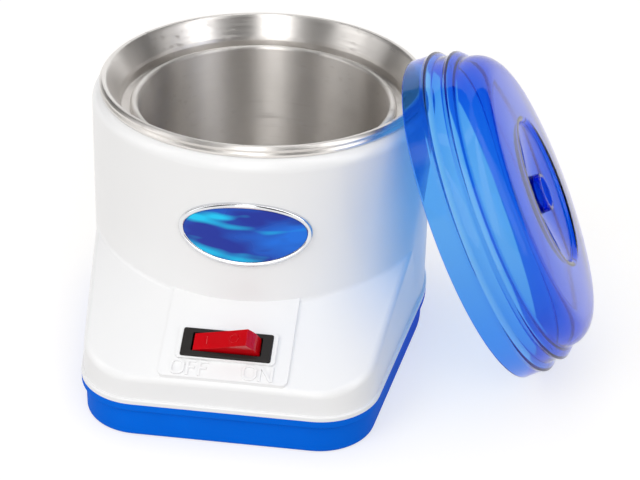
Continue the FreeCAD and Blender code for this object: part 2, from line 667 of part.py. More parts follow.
# The raised pad that carries the switch runs from the front edge up to the drum.
pad_back = float(foot_radius) * 0.78
pad_length = float(pad_front_reach) - pad_back
pad_low = float(seam_height) + float(bead_height) * 2
pad_area = eased_block(0, -pad_back - pad_length / 2, pad_low, pad_half_width * 2, pad_length,
                       shell_top_height - pad_low, pad_corner)
raised_pad = panel_wedge(-float(pad_raise)).common(pad_area)

# The frame round the switch, with the seat of the bezel sunk into it.
frame_body = on_panel(eased_block(0, 0, -frame_bury, frame_width, frame_depth,
                                  frame_raise + frame_bury, frame_corner))
bezel_seat = on_panel(eased_block(0, 0, 0, bezel_width + fit_gap, bezel_depth + fit_gap,
                                  bezel_thickness * 5, bezel_corner))
cut_out = on_panel(block_on(0, 0, -switch_body_height, switch_body_width + fit_gap * 2,
                            switch_body_depth + fit_gap * 2, switch_body_height + bezel_thickness))

# Raised letters under the switch: OFF to the left, ON to the right.
letter_top = -(float(frame_depth) / 2 + float(letter_gap))
letter_low = letter_top - float(letter_height)
letter_middle = (letter_top + letter_low) / 2
stroke = float(letter_stroke)
narrow = float(letter_narrow)
root = float(letter_root)


def letter_bar(x, y, width, height):
    """One straight stroke, from its lower left corner."""
    return Part.makeBox(width, height, root + float(letter_raise), Vector(x, y, -root))


def letter_o(x):
    width = float(letter_width)
    height = float(letter_height)
    thick = root + float(letter_raise)
    corner = width * 0.42
    outline = eased_block(x + width / 2, letter_middle, -root, width, height, thick, corner)
    hole = eased_block(x + width / 2, letter_middle, -root, width - 2 * stroke,
                       height - 2 * stroke, thick, corner - stroke)
    return outline.cut(hole)


def letter_f(x):
    upright = letter_bar(x, letter_low, stroke, float(letter_height))
    top_bar = letter_bar(x, letter_top - stroke, narrow, stroke)
    middle_bar = letter_bar(x, letter_middle - stroke * 0.3, narrow * 0.85, stroke)
    return upright.fuse([top_bar, middle_bar])


def letter_n(x):
    width = float(letter_width)
    left = letter_bar(x, letter_low, stroke, float(letter_height))
    right = letter_bar(x + width - stroke, letter_low, stroke, float(letter_height))
    slant = Part.Face(Part.makePolygon([
        Vector(x, letter_top, -root), Vector(x + stroke * 1.2, letter_top, -root),
        Vector(x + width, letter_low, -root), Vector(x + width - stroke * 1.2, letter_low, -root),
        Vector(x, letter_top, -root)]))
    return left.fuse([right, slant.extrude(UP * (root + float(letter_raise)))])


off_width = float(letter_width) + 2 * narrow + 2 * float(letter_space)
off_start = -float(letter_off_centre) - off_width / 2
first_f = off_start + float(letter_width) + float(letter_space)
on_start = float(letter_off_centre) - float(letter_width) - float(letter_space) / 2
letters = [
    letter_o(off_start),
    letter_f(first_f),
    letter_f(first_f + narrow + float(letter_space)),
    letter_o(on_start),
    letter_n(on_start + float(letter_width) + float(letter_space)),
]

# The bead along the bottom edge.
bead = slab(0.0, seam_height, seam_height + bead_height)
bead_rim = [edge for edge in bead.Edges
            if edge.BoundBox.ZMin > float(seam_height) + float(bead_height) - 0.01]
bead = bead.makeFillet(float(bead_proud) * 0.75, bead_rim)



def polar_pair(radius, degrees):
    """Two places behind the axis, to the left and the right, at a radius."""
    x, y = polar(radius, degrees)
    return [(-x, y), (x, y)]


front_posts = [(-float(front_post_x), -float(front_post_y)), (float(front_post_x), -float(front_post_y))]
back_posts = polar_pair(foot_radius - back_post_inset, float(back_post_turn))
post_places = front_posts + back_posts
boss_height = float(post_foot)
gusset_low = float(seam_height) + float(rib_rise) + 2 * float(post_slack)
lug_angles = (-8.0, 90.0, 188.0)


def drum_radius(height):
    """Outer radius of the drum at a height."""
    low = float(foot_radius) - float(bead_proud)
    share = (height - float(seam_height)) / (float(shell_top_height) - float(seam_height))
    return low + (float(shell_top_radius) - low) * share


def make_housing():
    """The white moulding: drum, plinth, panel, frame, letters, posts and lugs."""
    skin = outer.fuse([raised_pad, frame_body, bead] + [on_panel(letter) for letter in letters])
    hollow = drum(float(shell_wall)).fuse(plinth(float(shell_wall), 0))
    mouth = rod(shell_mouth_radius, shell_wall * 4, Vector(0, 0, float(shell_top_height - shell_wall * 3)))
    gland_hole = rod(gland_radius + screw_slack, shell_wall * 6,
                     Vector(0, float(foot_radius - shell_wall * 4), float(inlet_height)), BACK)
    shell = skin.cut([hollow, mouth, bezel_seat, cut_out, gland_hole])
    additions = []
    for x, y in front_posts:
        foot = rod(post_radius, float(seam_height + bead_height) - boss_height, Vector(x, y, boss_height))
        top = rod(post_radius, shell_top_height - seam_height, Vector(x, y, float(seam_height))).common(outer)
        additions.extend([foot, top])
    for x, y in back_posts:
        additions.append(rod(post_radius, back_post_top - boss_height, Vector(x, y, boss_height)))
        gusset = block_on((float(foot_radius) + math.hypot(x, y)) / 2, 0, gusset_low,
                          back_post_inset, gusset_width, back_post_top - gusset_low)
        additions.append(turned_about_z(gusset, math.degrees(math.atan2(y, x))).common(outer))
    for angle in lug_angles:
        inner_end = float(well_outer + lug_gap)
        length = float(foot_radius) - inner_end
        low = float(lug_height) - float(lug_thickness)
        lug = block_on(inner_end + length / 2, 0, low, length, lug_width, lug_thickness)
        additions.append(turned_about_z(lug, angle).common(outer))
    shell = shell.fuse(additions)
    holes = [rod(screw_radius + screw_slack, screw_seat + post_screw_length + 1.0, Vector(x, y, 0))
             for x, y in post_places]
    for angle in lug_angles:
        x, y = polar(bracket_screw_circle, angle)
        holes.append(rod(screw_radius + screw_slack, lug_thickness, Vector(
            x, y, float(lug_height) - float(lug_thickness))))
    return shell.cut(holes).removeSplitter()


housing_shell = shaped("housing_shell", make_housing())

# ---------------------------------------------------------------- tray, pads and its screws

rib_inset = float(bead_proud) + float(shell_wall) + float(fit_gap) + float(rib_rise) * math.tan(
    math.radians(float(plinth_draft)))
head_seat = float(screw_seat)
pad_places = [(-float(front_pad_x), -float(front_pad_y)), (float(front_pad_x), -float(front_pad_y))]
pad_places = pad_places + polar_pair(foot_radius - back_pad_inset, float(back_pad_turn))


def make_tray():
    """The blue moulding under the housing: floor, wall, lip and locating rib."""
    lip_low = float(seam_height) - float(tray_lip_height)
    wall = slab(float(tray_inset), 0, lip_low)
    wall = wall.makeFillet(float(tray_edge_round), [edge for edge in wall.Edges if edge.BoundBox.ZMax < 0.01])
    lip = slab(0.0, lip_low, seam_height)
    lip = lip.makeFillet(float(tray_lip_round), [edge for edge in lip.Edges if edge.BoundBox.ZMax < lip_low + 0.01])
    hollow = slab(float(tray_inset) + float(tray_wall), tray_floor, shell_top_height)
    rib_low = float(seam_height - rib_root_depth)
    rib = slab(rib_inset, rib_low, seam_height + rib_rise)
    rib_root = slab(float(tray_inset + tray_wall * 0.75), rib_low, seam_height)
    rib = rib.fuse(rib_root).cut(slab(rib_inset + float(rib_wall), 0, shell_top_height))
    notches = [rod(post_radius + post_slack, shell_top_height, Vector(x, y, boss_height))
               for x, y in post_places]
    notches.append(rod(gland_flange_radius + post_slack, foot_radius,
                       Vector(0, float(foot_radius) / 2, float(inlet_height)), BACK))
    tray = wall.fuse(lip).cut(hollow).fuse(rib.cut(notches))
    bosses = [rod(post_radius, boss_height, Vector(x, y, 0)) for x, y in post_places]
    tray = tray.fuse(bosses)
    holes = []
    for x, y in post_places:
        holes.append(rod(screw_radius + screw_slack, boss_height * 2, Vector(x, y, 0)))
        holes.append(rod(screw_head_radius + fit_gap, head_seat, Vector(x, y, 0)))
    for x, y in pad_places:
        holes.append(rod(pad_radius + screw_slack, pad_depth, Vector(x, y, 0)))
    for number in range(vent_count):
        slot = eased_block(vent_circle, 0, 0, vent_length, vent_width, tray_floor * 2, vent_width * 0.45)
        holes.append(turned_about_z(slot, (number + 0.5) * 360.0 / vent_count))
    return tray.cut(holes).removeSplitter()


base_tray = shaped("base_tray", make_tray())

foot_pads = shaped("foot_pads", Part.makeCompound([
    rod(pad_radius, pad_depth, Vector(x, y, 0)) for x, y in pad_places]))


def screw(head_low, shank_low, shank_high, x, y):
    """A pan-head screw standing on Z; its head on the side away from the shank."""
    shank = rod(screw_radius, shank_high - shank_low, Vector(x, y, shank_low))
    head = rod(screw_head_radius, screw_head_height, Vector(x, y, head_low))
    return shank.fuse(head).removeSplitter()


base_screws = shaped("base_screws", Part.makeCompound([
    screw(head_seat - float(screw_head_height), head_seat, head_seat + float(post_screw_length), x, y)
    for x, y in post_places]))

# ---------------------------------------------------------------- steel collar, well and bowl

steel_collar = turned("steel_collar", [
    (rim_radius, shell_top_height),
    (rim_radius, rim_height),
    (funnel_top_radius, rim_height),
    (funnel_foot_radius, funnel_foot_height),
    (funnel_foot_radius, ledge_height),
    (well_radius, ledge_height),
    (well_radius, ledge_height - steel_wall),
    (funnel_foot_radius + steel_wall, ledge_height - steel_wall),
    (funnel_foot_radius + steel_wall, funnel_foot_height - steel_wall * 0.26),
    (funnel_top_radius + steel_wall * 0.6, rim_height - steel_wall),
    (rim_radius - steel_wall, rim_height - steel_wall),
    (rim_radius - steel_wall, shell_top_height + steel_wall * 0.8),
    (shell_mouth_radius + fit_gap, shell_top_height + steel_wall * 0.8),
    (shell_mouth_radius + fit_gap, shell_top_height),
])
round_rims(steel_collar, "collar_outer_round", rim_round, (rim_radius, rim_height))
round_rims(steel_collar, "collar_inner_round", rim_round, (funnel_top_radius, rim_height))

heating_well = turned("heating_well", [
    (0, well_floor_height - steel_wall),
    (well_outer, well_floor_height - steel_wall),
    (well_outer, ledge_height - steel_wall * 2),
    (funnel_foot_radius + steel_wall * 0.4, ledge_height - steel_wall * 2),
    (funnel_foot_radius + steel_wall * 0.4, ledge_height - steel_wall),
    (well_radius, ledge_height - steel_wall),
    (well_radius, well_floor_height),
    (0, well_floor_height),
])
round_rims(heating_well, "well_outer_round", well_floor_round + steel_wall,
           (well_outer, well_floor_height - steel_wall))
round_rims(heating_well, "well_inner_round", well_floor_round, (well_radius, well_floor_height))

bowl_bottom = well_floor_height + bowl_floor_gap
bowl_inner = bowl_radius - bowl_wall
lip_low = ledge_height + fit_gap
lip_top = lip_low + bowl_lip_height
wax_bowl = turned("wax_bowl", [
    (0, bowl_bottom),
    (bowl_radius, bowl_bottom),
    (bowl_radius, lip_low),
    (bowl_lip_radius, lip_low),
    (bowl_lip_radius, lip_top),
    (bowl_inner, lip_top),
    (bowl_inner, bowl_bottom + bowl_wall),
    (0, bowl_bottom + bowl_wall),
])
round_rims(wax_bowl, "bowl_outer_round", bowl_floor_round + bowl_wall, (bowl_radius, bowl_bottom))
round_rims(wax_bowl, "bowl_inner_round", bowl_floor_round, (bowl_inner, bowl_bottom + bowl_wall))
round_rims(wax_bowl, "bowl_lip_round", bowl_lip_height * 0.42,
           (bowl_lip_radius, lip_top), (bowl_inner, lip_top), (bowl_lip_radius, lip_low))

# ---------------------------------------------------------------- heater under the well

heater_top = well_floor_height - steel_wall
ribbon_top = heater_top - mica_thickness
ribbon_low = ribbon_top - ribbon_thickness
mica_low = ribbon_low - mica_thickness
plate_low = mica_low - pressure_plate_thickness
stud_hole = stud_radius + screw_slack
ring_count = 6
terminal_places = [polar(ribbon_first + ribbon_pitch * (ring_count - 1), -44.0),
                   polar(ribbon_first + ribbon_pitch, -58.0)]
terminal_low = float(ribbon_low - terminal_length)
ear_screw_y = float(ear_span) / 2 - float(ear_screw_inset)
thermostat_screw_places = [(float(thermostat_offset), -ear_screw_y), (float(thermostat_offset), ear_screw_y)]

mica_top = turned("mica_top", [
    (stud_hole, ribbon_top), (plate_radius, ribbon_top), (plate_radius, heater_top), (stud_hole, heater_top)])
mica_bottom = turned("mica_bottom", [
    (stud_hole, mica_low), (plate_radius, mica_low), (plate_radius, ribbon_low), (stud_hole, ribbon_low)])
bored(mica_bottom, "mica_holes", terminal_radius + screw_slack, terminal_places)
pressure_plate = turned("pressure_plate", [
    (stud_hole, plate_low), (plate_radius, plate_low), (plate_radius, mica_low), (stud_hole, mica_low)])
bored(pressure_plate, "plate_terminal_holes", terminal_radius + terminal_clearance, terminal_places)
bored(pressure_plate, "plate_screw_holes", screw_radius + screw_slack, thermostat_screw_places)


def make_ribbon():
    """Rings of resistance ribbon, joined in turn at either side of a slot."""
    rings = []
    half = float(ribbon_width) / 2
    low = float(ribbon_low)
    thick = float(ribbon_thickness)
    radii = [float(ribbon_first + ribbon_pitch * number) for number in range(ring_count)]
    slot_angle = -51.0
    slot = turned_about_z(block_on(plate_radius / 2, 0, low, plate_radius, ribbon_slot, thick), slot_angle)
    for radius in radii:
        ring = rod(radius + half, thick, Vector(0, 0, low))
        rings.append(ring.cut(rod(radius - half, thick, Vector(0, 0, low))).cut(slot))
    edge = float(ribbon_slot + ribbon_bridge) / 2
    for number in range(ring_count - 1):
        side = edge if number % 2 else -edge
        length = radii[number + 1] - radii[number]
        bridge = block_on((radii[number] + radii[number + 1]) / 2, side, low, length,
                          ribbon_bridge, thick)
        rings.append(turned_about_z(bridge, slot_angle))
    return rings[0].fuse(rings[1:]).removeSplitter()


heating_ribbon = shaped("heating_ribbon", make_ribbon())
heater_terminals = shaped("heater_terminals", Part.makeCompound([
    rod(terminal_radius, float(ribbon_low) - terminal_low, Vector(x, y, terminal_low))
    for x, y in terminal_places]))

centre_stud = primitive("Cylinder", "centre_stud", Radius=stud_radius, Height=stud_length)
centre_stud.setExpression("Placement.Base.z", (heater_top - stud_length).text)

nut_block = primitive("Prism", "nut_block", Circumradius=nut_radius, Height=nut_height)
nut_bore = primitive("Cylinder", "nut_bore", Radius=stud_hole, Height=nut_height)
clamp_nut = doc.addObject("Part::Cut", "clamp_nut")
clamp_nut.Label = "clamp_nut"
clamp_nut.Base = nut_block
clamp_nut.Tool = nut_bore
clamp_nut.setExpression("Placement.Base.z", (plate_low - nut_height).text)


def make_thermostat():
    """A bimetal thermostat in a round case with two ears."""
    x = float(thermostat_offset)
    low = float(plate_low) - float(thermostat_height)
    case = rod(thermostat_radius, thermostat_height, Vector(x, 0, low))
    case = case.makeFillet(float(thermostat_edge), [edge for edge in case.Edges if edge.BoundBox.ZMax < low + 0.01])
    ears = eased_block(x, 0, plate_low - ear_thickness, ear_width, ear_span, ear_thickness,
                       ear_screw_inset * 0.6)
    holes = [rod(screw_radius + screw_slack, ear_thickness * 2, Vector(px, py, float(plate_low - ear_thickness)))
             for px, py in thermostat_screw_places]
    return case.fuse(ears).cut(holes).removeSplitter()


thermostat = shaped("thermostat", make_thermostat())
ear_low = float(plate_low - ear_thickness)
thermostat_screws = shaped("thermostat_screws", Part.makeCompound([
    screw(ear_low - float(screw_head_height), ear_low, float(mica_low), x, y)
    for x, y in thermostat_screw_places]))

fuse_axis = float(plate_low) - float(fuse_radius) - float(screw_slack)
fuse_start = Vector(-float(fuse_offset), -float(fuse_length) / 2, fuse_axis)
thermal_fuse = shaped("thermal_fuse", rod(fuse_radius, fuse_length, fuse_start, BACK))
clip_height = float(fuse_radius * 2 + clip_wall)
fuse_clip = shaped("fuse_clip", block_on(
    -float(fuse_offset), 0, float(plate_low) - clip_height, clip_width, clip_length, clip_height).cut([
        rod(fuse_radius + screw_slack, fuse_length, fuse_start, BACK),
        block_on(-float(fuse_offset), 0, fuse_axis, (fuse_radius + screw_slack) * 2, clip_length,
                 fuse_radius * 2)]))

shield_post_angles = (90.0, 210.0, 330.0)
shield_places = [polar(shield_post_circle, angle) for angle in shield_post_angles]
heat_shield = turned("heat_shield", [
    (shield_hole_radius, shield_height),
    (shield_radius, shield_height),
    (shield_radius, shield_height + shield_thickness),
    (shield_hole_radius, shield_height + shield_thickness),
])
bored(heat_shield, "shield_holes", shield_tip_radius + screw_slack, shield_places)
shield_posts = shaped("shield_posts", Part.makeCompound([
    rod(shield_post_radius, shield_height - tray_floor, Vector(x, y, float(tray_floor))).fuse(
        rod(shield_tip_radius, shield_thickness + shield_tip_rise,
            Vector(x, y, float(shield_height)))).removeSplitter()
    for x, y in shield_places]))

# ---------------------------------------------------------------- brackets of the well


def make_bracket(angle):
    """An angle strip: upright leg spot-welded to the well, level leg on the housing's lug."""
    inner_face = float(well_outer)
    outer_end = float(bracket_screw_circle + bracket_end)
    thick = float(bracket_thickness)
    low = float(lug_height)
    upright = block_on(inner_face + thick / 2, 0, low, thick, lug_width, bracket_rise)
    level = block_on((inner_face + outer_end) / 2, 0, low, outer_end - inner_face, lug_width, thick)
    hole = rod(screw_radius + screw_slack, 5.0, Vector(float(bracket_screw_circle), 0, low - 1.0))
    return turned_about_z(upright.fuse(level).cut(hole).removeSplitter(), angle)


well_brackets = shaped("well_brackets", Part.makeCompound([make_bracket(angle) for angle in lug_angles]))
bracket_top = float(lug_height) + float(bracket_thickness)
bracket_screws = shaped("bracket_screws", Part.makeCompound([
    screw(bracket_top, float(lug_height - bracket_screw_depth), bracket_top,
          *polar(bracket_screw_circle, angle)) for angle in lug_angles]))

# ---------------------------------------------------------------- rocker switch

face_height = float(bezel_thickness)
pivot_height = face_height - float(pin_drop)
pivot = panel_place.multVec(Vector(0, 0, pivot_height))
window_floor = face_height - float(window_drop)


def make_switch_housing():
    """The black switch body with its bezel, its window and two snap latches."""
    bezel = eased_block(0, 0, 0, bezel_width, bezel_depth, bezel_thickness, bezel_corner)
    bezel = bezel.makeFillet(float(bezel_rim), [edge for edge in bezel.Edges if edge.BoundBox.ZMin > face_height - 0.01])
    low = -float(switch_body_height)
    case = block_on(0, 0, low, switch_body_width, switch_body_depth, switch_body_height + bezel_rim)
    latches = []
    for side in (-1, 1):
        face_x = side * float(switch_body_width) / 2
        start = Vector(face_x, -float(latch_width) / 2, -float(latch_top + latch_length))
        root_x = face_x - side * float(switch_end_wall) / 3
        latch = Part.Face(Part.makePolygon([
            Vector(root_x, start.y, start.z), start,
            Vector(face_x + side * float(latch_proud), start.y, -float(latch_top)),
            Vector(root_x, start.y, -float(latch_top)), Vector(root_x, start.y, start.z)]))
        latches.append(latch.extrude(BACK * float(latch_width)))
    window = eased_block(0, 0, window_floor, window_width, window_depth, window_drop * 2, window_corner)
    pin_hole = rod(pin_radius + screw_slack, switch_body_depth * 2,
                   Vector(0, -float(switch_body_depth), pivot_height), BACK)
    return case.fuse([bezel] + latches).cut([window, pin_hole]).removeSplitter()


switch_housing = shaped("switch_housing", on_panel(make_switch_housing()))


def rocker_block(crest, low, length, radius):
    """A bar across the panel under a shallow valley, with ends round about the pin."""
    far = radius + 2.0
    rise = far * math.tan(math.radians(float(rocker_face_angle)))
    corners = [Vector(-far, -length / 2, low), Vector(far, -length / 2, low),
               Vector(far, -length / 2, crest + rise), Vector(0, -length / 2, crest),
               Vector(-far, -length / 2, crest + rise), Vector(-far, -length / 2, low)]
    bar = Part.Face(Part.makePolygon(corners)).extrude(BACK * length)
    return bar.common(rod(radius, length + 2, Vector(0, -length / 2 - 1, 0), BACK))


def make_rocker():
    """The clear red rocker, hollow underneath, bored for its pin."""
    radius = float(window_width) / 2 - float(rocker_gap)
    length = float(window_depth) - 2 * float(rocker_gap)
    wall = float(rocker_wall)
    crest = float(rocker_crest) + float(pin_drop)
    solid = rocker_block(crest, -float(rocker_skirt), length, radius)
    hollow = rocker_block(crest - wall, -float(rocker_skirt) - 1.0, length - 2 * wall, radius - wall)
    bore = rod(pin_radius + pin_gap, length + 2, Vector(0, -length / 2 - 1, 0), BACK)
    return solid.cut([hollow, bore])


switch_rocker = doc.addObject("Part::Feature", "switch_rocker")
switch_rocker.Label = "switch_rocker"
switch_rocker.Shape = make_rocker()
switch_rocker.Placement = Placement(pivot, panel_turn.multiply(Rotation(BACK, -float(rocker_angle))))

pin_start = Vector(0, -float(switch_body_depth) / 2, pivot_height)
rocker_pin = shaped("rocker_pin", on_panel(rod(pin_radius, switch_body_depth, pin_start, BACK)))
lamp_start = Vector(-float(lamp_length) / 2, 0, window_floor + float(lamp_radius))
neon_lamp = shaped("neon_lamp", on_panel(rod(lamp_radius, lamp_length, lamp_start, ACROSS)))
blade_top = -float(switch_body_height)
switch_terminals = shaped("switch_terminals", Part.makeCompound([
    on_panel(block_on(place, 0, blade_top - float(blade_length), blade_thickness, blade_width, blade_length))
    for place in (-float(blade_pitch), 0, float(blade_pitch))]))

# ---------------------------------------------------------------- badge


def drum_skin(low_offset, high_offset):
    """A layer round the drum between two distances from its surface."""
    low = float(foot_radius) - float(bead_proud)
    high = float(shell_top_radius)
    height = float(shell_top_height) - float(seam_height)
    foot = Vector(0, 0, float(seam_height))
    outside = Part.makeCone(low + high_offset, high + high_offset, height, foot)
    return outside.cut(Part.makeCone(low + low_offset, high + low_offset, height, foot))


def badge_prism(shrink):
    """An oval bar pointing out of the drum at the badge."""
    oval = Part.Ellipse(Vector(), float(badge_width) / 2 - shrink, float(badge_height) / 2 - shrink)
    reach = float(foot_radius) * 0.6
    bar = Part.Face(Part.Wire(oval.toShape())).extrude(UP * reach)
    bar.Placement = Placement(Vector(0, 0, float(badge_centre_height)),
                              Rotation(UP, float(badge_turn)).multiply(Rotation(ACROSS, 90.0)))
    bar.translate(Rotation(UP, float(badge_turn)).multVec(Vector(0, -reach, 0)))
    return bar


badge_ring = shaped("badge_ring", badge_prism(0.0).cut(badge_prism(float(badge_ring_width))).common(
    drum_skin(0.0, float(badge_proud))))
badge_inlay = shaped("badge_inlay", badge_prism(float(badge_ring_width)).common(
    drum_skin(0.0, float(badge_proud) - float(badge_sink))))

# ---------------------------------------------------------------- cord gland, block and leads


def make_gland():
    """A rubber gland snapped into the back wall: two flanges, a neck and a tapered nose."""
    height = float(inlet_height)
    outside = drum_radius(height - float(gland_flange_radius)) + 0.05
    inside = drum_radius(height) - float(shell_wall)
    inner_face = math.sqrt(inside ** 2 - float(gland_flange_radius) ** 2) - 0.1
    flange = float(gland_flange)
    neck = rod(gland_radius, outside - inner_face + 0.5, Vector(0, inner_face - 0.2, height), BACK)
    inner_flange = rod(gland_flange_radius, flange, Vector(0, inner_face - flange, height), BACK)
    outer_flange = rod(gland_flange_radius, flange, Vector(0, outside, height), BACK)
    nose_root = gland_radius + gland_nose_start
    nose = Part.makeCone(float(nose_root), float(nose_root - gland_nose_taper), float(gland_nose),
                         Vector(0, outside + flange, height), BACK)
    bore = rod(inlet_bore_radius, foot_radius, Vector(0, float(foot_radius) / 2, height), BACK)
    return neck.fuse([inner_flange, outer_flange, nose]).cut(bore).removeSplitter()


cord_gland = shaped("cord_gland", make_gland())

block_top = float(tray_floor) + float(block_height)
block_screws = [
    rod(block_screw_radius, block_screw_depth,
        Vector(x, -float(block_reach - block_row), block_top - float(block_screw_depth)))
    for x in (-float(block_pitch), 0, float(block_pitch))]
terminal_block = shaped("terminal_block", block_on(
    0, -float(block_reach), tray_floor, block_length, block_depth, block_height).cut(block_screws))


def make_lead(label, points):
    """A round insulated wire: straight runs between the points, joined by tangent arcs."""
    runs = [points[number + 1] - points[number] for number in range(len(points) - 1)]
    edges = []
    last = points[0]
    for number in range(1, len(points) - 1):
        before = runs[number - 1]
        after = runs[number]
        turn = before.getAngle(after)
        setback = 0.45 * min(before.Length, after.Length)
        way_in = Vector(before).normalize()
        way_out = Vector(after).normalize()
        start = points[number] - way_in * setback
        end = points[number] + way_out * setback
        radius = setback / math.tan(turn / 2)
        bisector = (way_out - way_in).normalize()
        middle = points[number] + bisector * (radius / math.cos(turn / 2) - radius)
        edges.append(Part.LineSegment(last, start).toShape())
        edges.append(Part.Arc(start, middle, end).toShape())
        last = end
    edges.append(Part.LineSegment(last, points[-1]).toShape())
    spine = Part.Wire(edges)
    ring = Part.Wire(Part.Circle(points[0], runs[0], float(lead_radius)).toShape())
    tube = spine.makePipeShell([ring], True, False)
    wanted = math.pi * float(lead_radius) ** 2 * spine.Length
    print("%s: volume %.1f, section times length %.1f" % (label, tube.Volume, wanted))
    return shaped(label, tube)


blade_foot = blade_top - float(blade_length)
blade_left = panel_place.multVec(Vector(-float(blade_pitch), 0, blade_foot))
blade_right = panel_place.multVec(Vector(float(blade_pitch), 0, blade_foot))
block_left = Vector(-float(block_pitch), -float(block_reach + block_row), block_top)
block_right = Vector(float(block_pitch), -float(block_reach + block_row), block_top)
fuse_front = fuse_start
fuse_back = fuse_start + BACK * float(fuse_length)
case_middle = float(plate_low) - float(thermostat_height) / 2
case_left = Vector(float(thermostat_offset) - float(thermostat_radius), 0, case_middle)
case_right = Vector(float(thermostat_offset) + float(thermostat_radius), 0, case_middle)
outer_terminal = Vector(*terminal_places[0], terminal_low)
inner_terminal = Vector(*terminal_places[1], terminal_low)

switch_lead = make_lead("switch_lead", [
    block_right, block_right + UP * float(lead_stub), blade_right - panel_out * float(lead_stub), blade_right])
fuse_lead = make_lead("fuse_lead", [
    blade_left, blade_left - panel_out * float(lead_stub), Vector(-16.4, -58, 14.6), Vector(-20, -43, 15.6),
    Vector(-21, -28, 16.8), fuse_front - BACK * 9.0, fuse_front])
thermostat_lead = make_lead("thermostat_lead", [
    fuse_back, fuse_back + BACK * 8.0, Vector(-10, 21, 16.0), Vector(0, 15, 15.6),
    case_left - ACROSS * 5.0 + BACK * 5.0, case_left - ACROSS * 3.0, case_left])
heater_lead = make_lead("heater_lead", [
    case_right, case_right + ACROSS * 5.0, Vector(34, -12, 15.0), outer_terminal + Vector(3, 6, -3.2),
    outer_terminal - UP * 3.4, outer_terminal])
return_lead = make_lead("return_lead", [
    inner_terminal, inner_terminal - UP * 3.0, Vector(6, -24, 14.2), Vector(1, -38, 14.6),
    Vector(-6, -50, 16.0), block_left + UP * 5.0, block_left])

# ---------------------------------------------------------------- lid

knob_seat = dish_edge_height - dish_depth
lid_inside = lid_wall * 0.9
lid_shell = turned("lid_shell", [
    (lid_radius, 0),
    (lid_skirt_radius, lid_skirt_height),
    (lid_bead_one_radius, lid_bead_one_height),
    (lid_band_radius, lid_bead_one_height + lid_step),
    (lid_band_radius - lid_band_taper, lid_bead_two_height - lid_step),
    (lid_bead_two_radius, lid_bead_two_height),
    (lid_bead_two_radius - lid_bead_two_fall, lid_bead_two_height + lid_step),
    (dome_radius, lid_bead_two_height + dome_start),
    (dome_radius, dome_height),
    (dish_radius, dish_edge_height),
    (dish_radius - dish_step_run, dish_edge_height - dish_step),
    (knob_radius + knob_seat_margin, knob_seat),
    (0, knob_seat),
    (0, knob_seat - lid_wall),
    (knob_radius + knob_seat_margin, knob_seat - lid_wall),
    (dish_radius - dish_step_run + lid_inside, dish_edge_height - dish_step - lid_wall),
    (dish_radius + lid_inside, dish_edge_height - lid_wall),
    (dome_radius - lid_wall, dome_height - lid_wall),
    (dome_radius - lid_wall, lid_bead_two_height + dome_start - lid_wall * 0.5),
    (lid_bead_two_radius - lid_bead_two_fall - lid_wall, lid_bead_two_height + lid_step - lid_wall * 0.4),
    (lid_bead_two_radius - lid_wall, lid_bead_two_height),
    (lid_band_radius - lid_band_taper - lid_wall, lid_bead_two_height - lid_step + lid_wall * 0.3),
    (lid_band_radius - lid_wall, lid_bead_one_height + lid_step - lid_wall * 0.3),
    (lid_bead_one_radius - lid_wall, lid_bead_one_height),
    (lid_skirt_radius - lid_wall, lid_skirt_height),
    (lid_radius - lid_wall, 0),
])
round_rims(lid_shell, "dome_outer_round", dome_round, (dome_radius, dome_height))
round_rims(lid_shell, "dome_inner_round", dome_round - lid_wall,
           (dome_radius - lid_wall, dome_height - lid_wall))

lid_knob = turned("lid_knob", [
    (0, knob_seat),
    (knob_radius, knob_seat),
    (knob_radius, knob_seat + knob_height),
    (knob_radius - knob_wall, knob_seat + knob_height),
    (knob_radius - knob_wall, knob_seat + knob_floor),
    (0, knob_seat + knob_floor),
])
round_rims(lid_knob, "knob_round", knob_wall * 0.4,
           (knob_radius, knob_seat + knob_height), (knob_radius - knob_wall, knob_seat + knob_height))

# The lid leans with its open side against the collar's top edge and its lowest point on the floor.
inside_lid = float(lid_radius) - float(lid_wall)
up_the_lid = inside_lid - float(lid_touch_margin)
lean = math.acos(float(rim_height) / (float(lid_radius) + up_the_lid))
touch_y = float(lid_aside) + math.sqrt(inside_lid ** 2 - up_the_lid ** 2)
foot_x = math.sqrt(float(rim_radius) ** 2 - touch_y ** 2)
foot_x += float(rim_height) * math.tan(lean) + float(lid_rest_gap)
lid_yaw_turn = Rotation(UP, -float(lid_yaw))
lid_centre = lid_yaw_turn.multVec(Vector(
    foot_x - float(lid_radius) * math.sin(lean), float(lid_aside), float(lid_radius) * math.cos(lean)))
lid_place = Placement(lid_centre, lid_yaw_turn.multiply(Rotation(BACK, 90.0 - math.degrees(lean))))
lid_shell.Placement = lid_place
lid_knob.Placement = lid_place

# ---------------------------------------------------------------- checks and export

